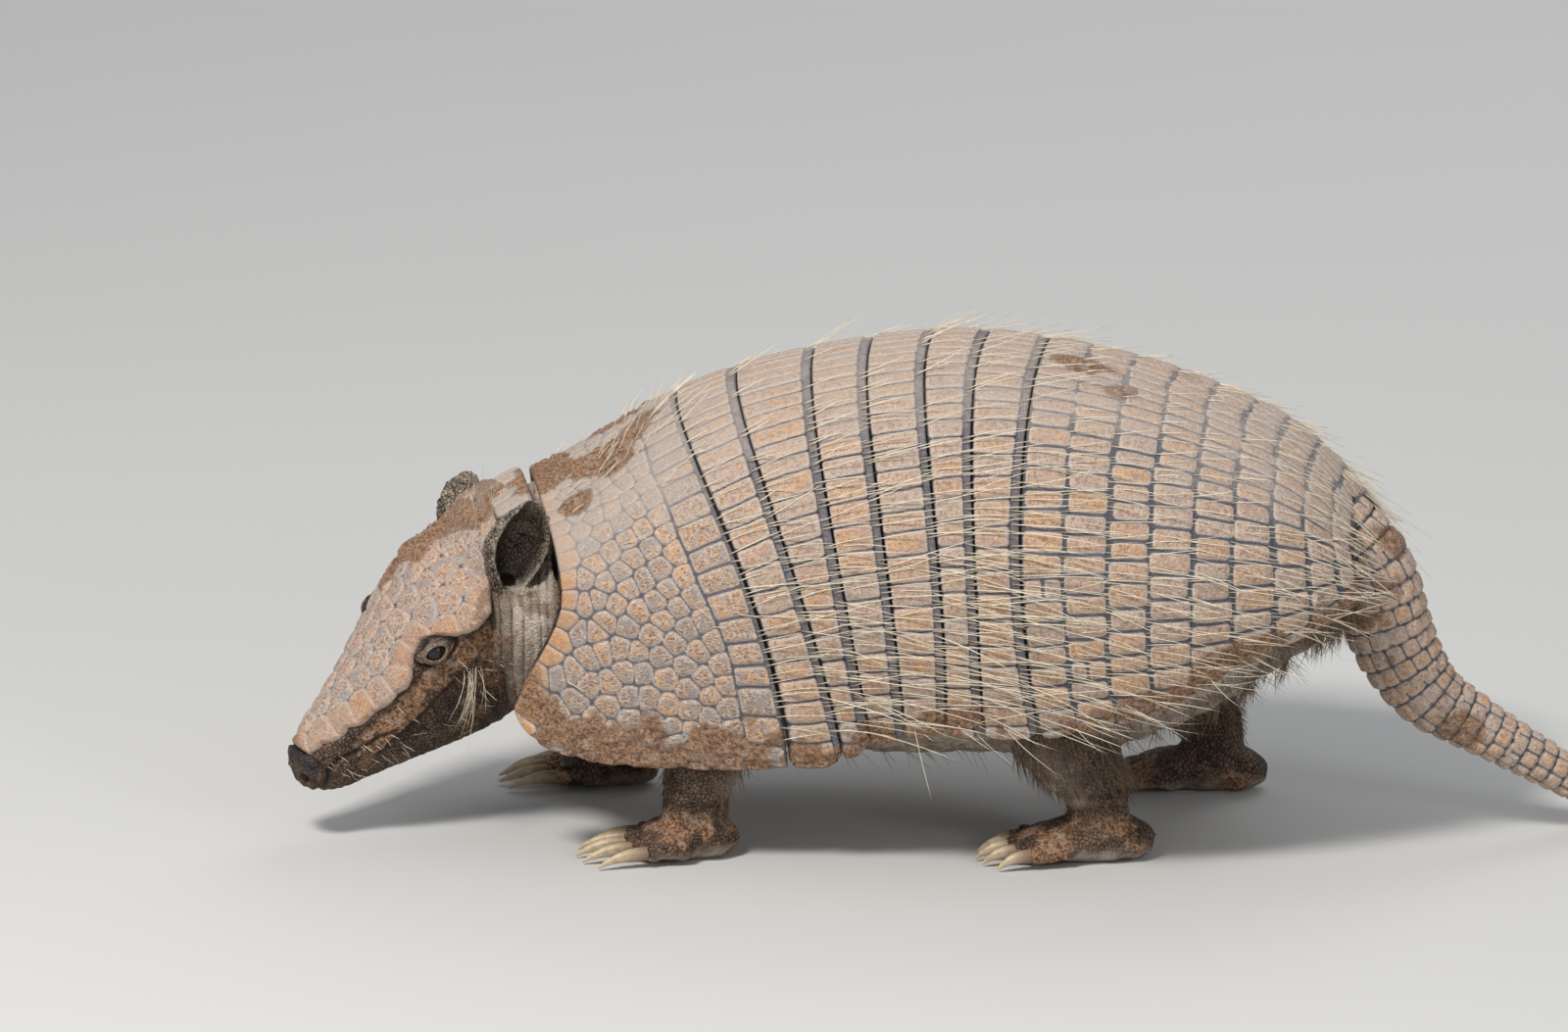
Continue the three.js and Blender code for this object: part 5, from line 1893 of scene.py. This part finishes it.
def dirty(tree, place, base, dust, soil):
    """The outputs of dust and soil over a colour."""
    return use(tree, "dust and soil", {
        "Place": place, "Colour": base, "Dust": dust, "Soil": soil,
        "Dust colour": rgba("dust"), "Dry": rgba("soil"), "Damp": rgba("soil_dark"),
    })


def new_material(name):
    """A material's tree, its shader, and the place on the object."""
    made = bpy.data.materials.new(name)
    made.use_nodes = True
    tree = made.node_tree
    return tree, tree.nodes["Principled BSDF"], add(tree, "TexCoord").outputs["Object"]


def give_bump(tree, shader, height, strength, distance):
    bumped = add(tree, "Bump", {"Height": height, "Strength": strength, "Distance": distance})
    tree.links.new(bumped.outputs[0], shader.inputs["Normal"])


def armour_material(name, streaks, mottle, groove, rim, deep_shade, **tones):
    """Horn plates: bands, shields, head and tail take it with their own values."""
    tree, shader, place = new_material(name)
    scute = use(tree, "scute finish", {
        "Place": place, "Plate": add(tree, "UVMap", uv_map="plate").outputs[0],
        **{key.title(): value_of(tree, key) for key in ("edge", "tint", "bright")},
        **{key: rgba(tones.get(key.lower(), "scute_" + key.lower())) for key in SCUTE_COLOURS},
        "Grey": rgba("groove_grey"), "Shade black": rgba("black_and_groove_shade"),
        "Streaks": streaks, "Mottle": mottle, "Groove": groove, "Rim": rim, "Deep shade": deep_shade,
    })
    strip_grain = grain(tree, place, 900, 3)
    leather = blend(tree, ramp(tree, strip_grain, 0.35, 0.65), rgba("groove_grey"), rgba("scute_pink"))
    leather = blend(tree, 0.7, leather, rgba("groove_grey"))
    base = blend(tree, value_of(tree, "strip"), scute["Colour"], leather)
    # Painted shade: black along each plate's rim, for the shadow in the gap between neighbouring plates.
    seam_shade = ramp(tree, value_of(tree, "rim"), 0.5, 0.1)
    base = blend(tree, times(tree, seam_shade, 0.85), base, rgba("black_and_groove_shade"))
    dirt = dirty(tree, place, base, value_of(tree, "dust"), value_of(tree, "soil"))
    rough = scute["Roughness"]
    fill(tree, shader, {"Base Color": dirt["Colour"], "Roughness": rough, "Specular IOR Level": 0.32})
    give_bump(tree, shader, plus(tree, scute["Height"], dirt["Height"]), 0.75, 0.0006)


def make_skin_group():
    """Granular hide: pebbles with dark gaps. Puts out a colour between two and a height."""
    tree, given, end = group(
        "granular hide",
        [("Place", "v"), ("Light", "c"), ("Dark", "c"), ("Size", "f"), ("Contrast", "f")],
        [("Colour", "c"), ("Height", "f")],
    )
    place = given["Place"]
    warped = drifted(tree, place, place, 420.0, 0.0011)
    scaled = add(tree, "VectorMath", {0: warped, "Scale": given["Size"]}, operation="SCALE").outputs[0]
    cells = add(tree, "TexVoronoi", {"Vector": scaled, "Scale": 1.0}, feature="DISTANCE_TO_EDGE")
    cells = cells.outputs["Distance"]
    fine = grain(tree, place, 1700, 3, 0.7)
    broad = grain(tree, place, 90, 3, 0.6)
    gap = times(tree, ramp(tree, cells, 0.16, 0.02), given["Contrast"])
    shade = plus(tree, gap, ramp(tree, broad, 0.62, 0.36, 0, 0.45), True)
    shade = plus(tree, shade, ramp(tree, fine, 0.6, 0.35, 0, 0.35), True)
    close_group(
        tree, end, Colour=blend(tree, shade, given["Light"], given["Dark"]),
        Height=plus(tree, ramp(tree, cells, 0.0, 0.35), times(tree, fine, 0.35)),
    )


def make_skin_material():
    """Hide of every kind, by the values painted on the skin."""
    tree, shader, place = new_material("hide")

    def granular(light, dark, size, contrast):
        inputs = {"Light": rgba(light), "Dark": rgba(dark), "Size": size, "Contrast": contrast}
        return use(tree, "granular hide", {"Place": place, **inputs})

    brown = granular("skin_brown", "skin_dark_and_shade", 620.0, 0.8)
    grey = granular("skin_grey", "skin_brown", 900.0, 0.35)
    ear = granular("ear_grey", "skin_dark_and_shade", 640.0, 0.8)
    wet = granular("nose", "black_and_groove_shade", 760.0, 0.8)
    base = blend(tree, value_of(tree, "grey"), brown["Colour"], grey["Colour"])
    base = blend(tree, value_of(tree, "ear"), base, ear["Colour"])
    base = blend(tree, times(tree, value_of(tree, "rim"), 0.75), base, rgba("ear_rim"))
    # Painted shade inside the ears' cups and in the hollow behind them.
    base = blend(tree, times(tree, value_of(tree, "inside"), 0.92), base, rgba("ear_inside_shade"))
    base = blend(tree, value_of(tree, "nose"), base, wet["Colour"])
    dirt = dirty(tree, place, base, 0.0, value_of(tree, "soil"))
    # Painted shade in the creases, folds, lips, nostrils and the gaps between the ears' beads.
    crease_shade = times(tree, value_of(tree, "crease_shade"), 0.85)
    base = blend(tree, crease_shade, dirt["Colour"], rgba("skin_dark_and_shade"))
    lid = value_of(tree, "lid")
    edge = times(tree, ramp(tree, lid, 0.1, 0.5), ramp(tree, lid, 3.1, 2.3, 0, 0.4))
    edge = times(tree, edge, ramp(tree, grain(tree, place, 900), 0.38, 0.62, 0.25, 1))
    base = blend(tree, edge, base, rgba("ear_grey"))
    # Painted shade: a dark band in the crease round the lids, and dark at the opening where the lids meet the
    # ball.
    fold_shade = times(tree, ramp(tree, lid, 2.8, 3.2), ramp(tree, lid, 4.5, 3.9, 0, 0.92))
    base = blend(tree, fold_shade, base, rgba("skin_dark_and_shade"))
    base = blend(tree, ramp(tree, lid, 0.3, 0.0), base, rgba("skin_dark_and_shade"))
    rough = ramp(tree, value_of(tree, "nose"), 0, 1, 0.78, 0.42)
    fill(tree, shader, {"Base Color": base, "Roughness": rough, "Specular IOR Level": 0.3})
    height = plus(tree, times(tree, brown["Height"], 0.8), dirt["Height"])
    give_bump(tree, shader, height, 0.8, 0.0005)


def make_claw_material():
    """Fibrous horn, darker at the root."""
    tree, shader, place = new_material("claw horn")
    tip = value_of(tree, "tipward")
    fibre = grain(tree, place, 420, 3)
    base = blend(tree, ramp(tree, tip, 0.0, 0.55), rgba("claw_root"), rgba("claw"))
    base = blend(tree, times(tree, ramp(tree, fibre, 0.45, 0.7), 0.45), base, rgba("claw_root"))
    dirt = dirty(tree, place, base, 0.1, ramp(tree, tip, 0.4, 0.0, 0, 0.35))
    fill(tree, shader, {"Base Color": dirt["Colour"], "Roughness": 0.42})
    give_bump(tree, shader, fibre, 0.4, 0.0003)


def make_hair_material(name, light, dark, share):
    """Hair between two colours, darker at the root; share is how far its tint can go."""
    tree, shader, _ = new_material(name)
    base = blend(tree, times(tree, value_of(tree, "tint"), share), rgba(light), rgba(dark))
    root = ramp(tree, value_of(tree, "tip"), 0.22, 0.0)
    base = blend(tree, times(tree, root, 0.5), base, rgba(dark))
    fill(tree, shader, {"Base Color": base, "Roughness": 0.5, "Specular IOR Level": 0.35})


def make_eye_material():
    """A wet dark eye: pupil, iris and white by the distance from its middle."""
    tree, shader, place = new_material("eye")
    away = value_of(tree, "pupil")
    fibre = grain(tree, place, 2600, 2)
    pupil, white = (0.004, 0.003, 0.003, 1), (0.09, 0.06, 0.045, 1)
    base = blend(tree, ramp(tree, away, 1.5, 1.9), pupil, rgba("eye"))
    base = blend(tree, times(tree, ramp(tree, fibre, 0.5, 0.7), 0.3), base, rgba("skin_brown"))
    base = blend(tree, ramp(tree, away, 3.2, 3.8), base, white)
    fill(tree, shader, {
        "Base Color": base, "Roughness": 0.12, "Specular IOR Level": 0.1, "Coat Weight": 0.6,
        "Coat Roughness": 0.03,
    })


def make_materials():
    make_scute_group()
    make_dirt_group()
    make_skin_group()
    armour_material("band horn", 0.75, 0.62, 0.42, 0.62, 0.8)
    blotched = {"tan": "head_tan", "pink": "head_grey"}
    armour_material("shield horn", 0.40, 0.92, 0.50, 0.36, 0.30, **blotched)
    armour_material("pelvic horn", 0.50, 0.66, 0.66, 0.52, 0.35)
    armour_material("head horn", 0.60, 0.92, 0.26, 0.38, 0.45, orange="head_orange", **blotched)
    armour_material("tail horn", 0.30, 0.70, 0.42, 0.30, 0.5)
    make_skin_material()
    make_claw_material()
    make_hair_material("bristle", "bristle", "fur", 0.28)
    make_hair_material("brown fur", "fur", "skin_dark_and_shade", 0.8)
    make_eye_material()


# ---------------------------------------------------------------- operators


class ARMADILLO_OT_shell(bpy.types.Operator):
    """Shoulder shield, six moving bands, pelvic shield and nape band"""

    bl_idname = "armadillo.shell"
    bl_label = "Shell plates"

    def execute(self, context):
        half = GAP / 2
        lines = (SHELL_FRONT, SHELL_FRONT + 8.5, -129, -120.5, -112, GROOVES[0])
        ends = (SHELL_FRONT, GROOVES[0] - half)
        shell_plate("scapular_shield", "shoulder", *ends, lines, 72, 12, 7, 1.6, "shield horn")
        for number in range(6):
            s0, s1 = GROOVES[number] + half, GROOVES[number + 1] - half
            rows = max(4, round((s1 - s0) / 4.4))
            shell_plate(f"band_{number + 1}", "band", s0, s1, (s0, s1), 72, rows, 7, 4.0, "band horn")
        ends = (GROOVES[-1] + half, SHELL_REAR)
        shell_plate("pelvic_shield", "pelvic", *ends, PELVIC_ROWS, 64, 25, 6, 3.0, "pelvic horn")
        shell_plate("neck_band", "nape", *NECK_BAND, NECK_BAND, 20, 3, 7, 3.0, "shield horn", 0.43)
        return {"FINISHED"}


class ARMADILLO_OT_head_shield(bpy.types.Operator):
    """Shield of irregular scutes over the head"""

    bl_idname = "armadillo.head_shield"
    bl_label = "Head shield"

    def execute(self, context):
        head_shield_plate()
        return {"FINISHED"}


class ARMADILLO_OT_tail(bpy.types.Operator):
    """Tail with rings of scutes"""

    bl_idname = "armadillo.tail"
    bl_label = "Tail"

    def execute(self, context):
        tail_piece()
        return {"FINISHED"}


class ARMADILLO_OT_claws(bpy.types.Operator):
    """Five claws on each foot"""

    bl_idname = "armadillo.claws"
    bl_label = "Claws"

    def execute(self, context):
        for name in LEGS:
            claws_piece(name)
        return {"FINISHED"}


class ARMADILLO_OT_eyes(bpy.types.Operator):
    """Eyeballs with cornea and iris"""

    bl_idname = "armadillo.eyes"
    bl_label = "Eyes"

    def execute(self, context):
        eye_piece("left", 1)
        eye_piece("right", -1)
        return {"FINISHED"}


class ARMADILLO_OT_skin(bpy.types.Operator):
    """One skin with folds, lids, ears and toes"""

    bl_idname = "armadillo.skin"
    bl_label = "Skin"

    def execute(self, context):
        skin_piece()
        return {"FINISHED"}


class ARMADILLO_OT_bristles(bpy.types.Operator):
    """Long bristles behind the scutes, and hair under the margin"""

    bl_idname = "armadillo.bristles"
    bl_label = "Bristles"

    def execute(self, context):
        shell_bristles()
        margin_hair()
        return {"FINISHED"}


class ARMADILLO_OT_hair(bpy.types.Operator):
    """Fur of the limbs, belly hair and whiskers"""

    bl_idname = "armadillo.hair"
    bl_label = "Fur and whiskers"

    def execute(self, context):
        limb_hair()
        whiskers()
        return {"FINISHED"}


class ARMADILLO_OT_stage(bpy.types.Operator):
    """Pale floor with a raised back, soft lights and the camera"""

    bl_idname = "armadillo.stage"
    bl_label = "Stage, lights and camera"

    def execute(self, context):
        scene = context.scene
        tree, shader, place = new_material("studio floor")
        darker = tuple(c * 0.97 for c in colours().floor) + (1,)
        shade = blend(tree, grain(tree, place, 3, 2), rgba("floor"), darker)
        fill(tree, shader, {"Base Color": shade, "Roughness": 0.9})
        bm = bmesh.new()
        bmesh.ops.create_grid(bm, x_segments=1, y_segments=1, size=16)
        far = [edge for edge in bm.edges if all(vert.co.y > 15 for vert in edge.verts)]
        rise = {"cent": (0, 16, 2), "axis": (1, 0, 0), "angle": math.radians(80), "steps": 16}
        turned = bmesh.ops.spin(bm, geom=far, **rise)
        last = [item for item in turned["geom_last"] if isinstance(item, bmesh.types.BMEdge)]
        raised = bmesh.ops.extrude_edge_only(bm, edges=last)["geom"]
        top = [item for item in raised if isinstance(item, bmesh.types.BMVert)]
        bmesh.ops.translate(bm, vec=(0, 0.5, 4), verts=top)
        bmesh.ops.recalc_face_normals(bm, faces=bm.faces)
        floor = new_object("studio_floor", bm, material("studio floor"))

        def lamp(name, energy, size, stand, aim, tone):
            data = bpy.data.lights.new(name, "AREA")
            data.energy, data.size, data.color = energy, size, tone
            made = bpy.data.objects.new(name, data)
            scene.collection.objects.link(made)
            made.location = stand
            made.rotation_euler = (Vector(aim) - Vector(stand)).to_track_quat("-Z", "Y").to_euler()

        lamp("key", 44, 0.45, (-0.85, -1.25, 1.85), (0, 0, 0.08), (1, 0.965, 0.92))
        lamp("fill", 7, 0.45, (1.4, -1.8, 0.9), (0, 0, 0.08), (0.92, 0.96, 1))
        lamp("back", 8, 1.2, (0.6, 1.6, 1.5), (0, 0, 0.1), (1, 1, 1))
        world = bpy.data.worlds.new("studio")
        scene.world = world
        world.use_nodes = True
        sky = world.node_tree.nodes["Background"]
        fill(world.node_tree, sky, {"Color": (0.92, 0.95, 1, 1), "Strength": 0.42})
        data = bpy.data.cameras.new("camera")
        camera = bpy.data.objects.new("camera", data)
        scene.collection.objects.link(camera)
        data.lens, data.sensor_width, data.clip_start, data.clip_end = 400, 36, 0.1, 100
        aim = Vector(((-54.0 + SHIFT[0]) / 1000, 0.0064, 0.11446))
        tilt, distance = math.radians(14), 6.4
        camera.location = aim + Vector((0, -math.cos(tilt), math.sin(tilt))) * distance
        camera.rotation_euler = (math.radians(90) - tilt, 0, 0)
        scene.camera = camera
        scene.view_settings.view_transform = "Standard"
        return {"FINISHED"}


class ARMADILLO_OT_materials(bpy.types.Operator):
    """Shader groups and materials of every finish"""

    bl_idname = "armadillo.materials"
    bl_label = "Materials"

    def execute(self, context):
        make_materials()
        return {"FINISHED"}


STEPS = (
    ARMADILLO_OT_materials, ARMADILLO_OT_shell, ARMADILLO_OT_head_shield, ARMADILLO_OT_tail,
    ARMADILLO_OT_claws, ARMADILLO_OT_eyes, ARMADILLO_OT_skin, ARMADILLO_OT_bristles, ARMADILLO_OT_hair,
    ARMADILLO_OT_stage,
)


class ARMADILLO_PT_panel(bpy.types.Panel):
    """Lists the steps of the armadillo"""

    bl_idname = "ARMADILLO_PT_panel"
    bl_label = "Armadillo"
    bl_space_type = "VIEW_3D"
    bl_region_type = "UI"
    bl_category = "Armadillo"

    def draw(self, context):
        for step in STEPS:
            self.layout.operator(step.bl_idname)


CLASSES = (ArmadilloSizes, ArmadilloColours, *STEPS, ARMADILLO_PT_panel)


def register():
    for item in CLASSES:
        bpy.utils.register_class(item)
    bpy.types.Scene.armadillo_sizes = PointerProperty(type=ArmadilloSizes)
    bpy.types.Scene.armadillo_colours = PointerProperty(type=ArmadilloColours)


def unregister():
    del bpy.types.Scene.armadillo_colours
    del bpy.types.Scene.armadillo_sizes
    for item in reversed(CLASSES):
        bpy.utils.unregister_class(item)


def main():
    register()
    for step in STEPS:
        family, name = step.bl_idname.split(".")
        getattr(getattr(bpy.ops, family), name)()


if __name__ == "__main__":
    main()
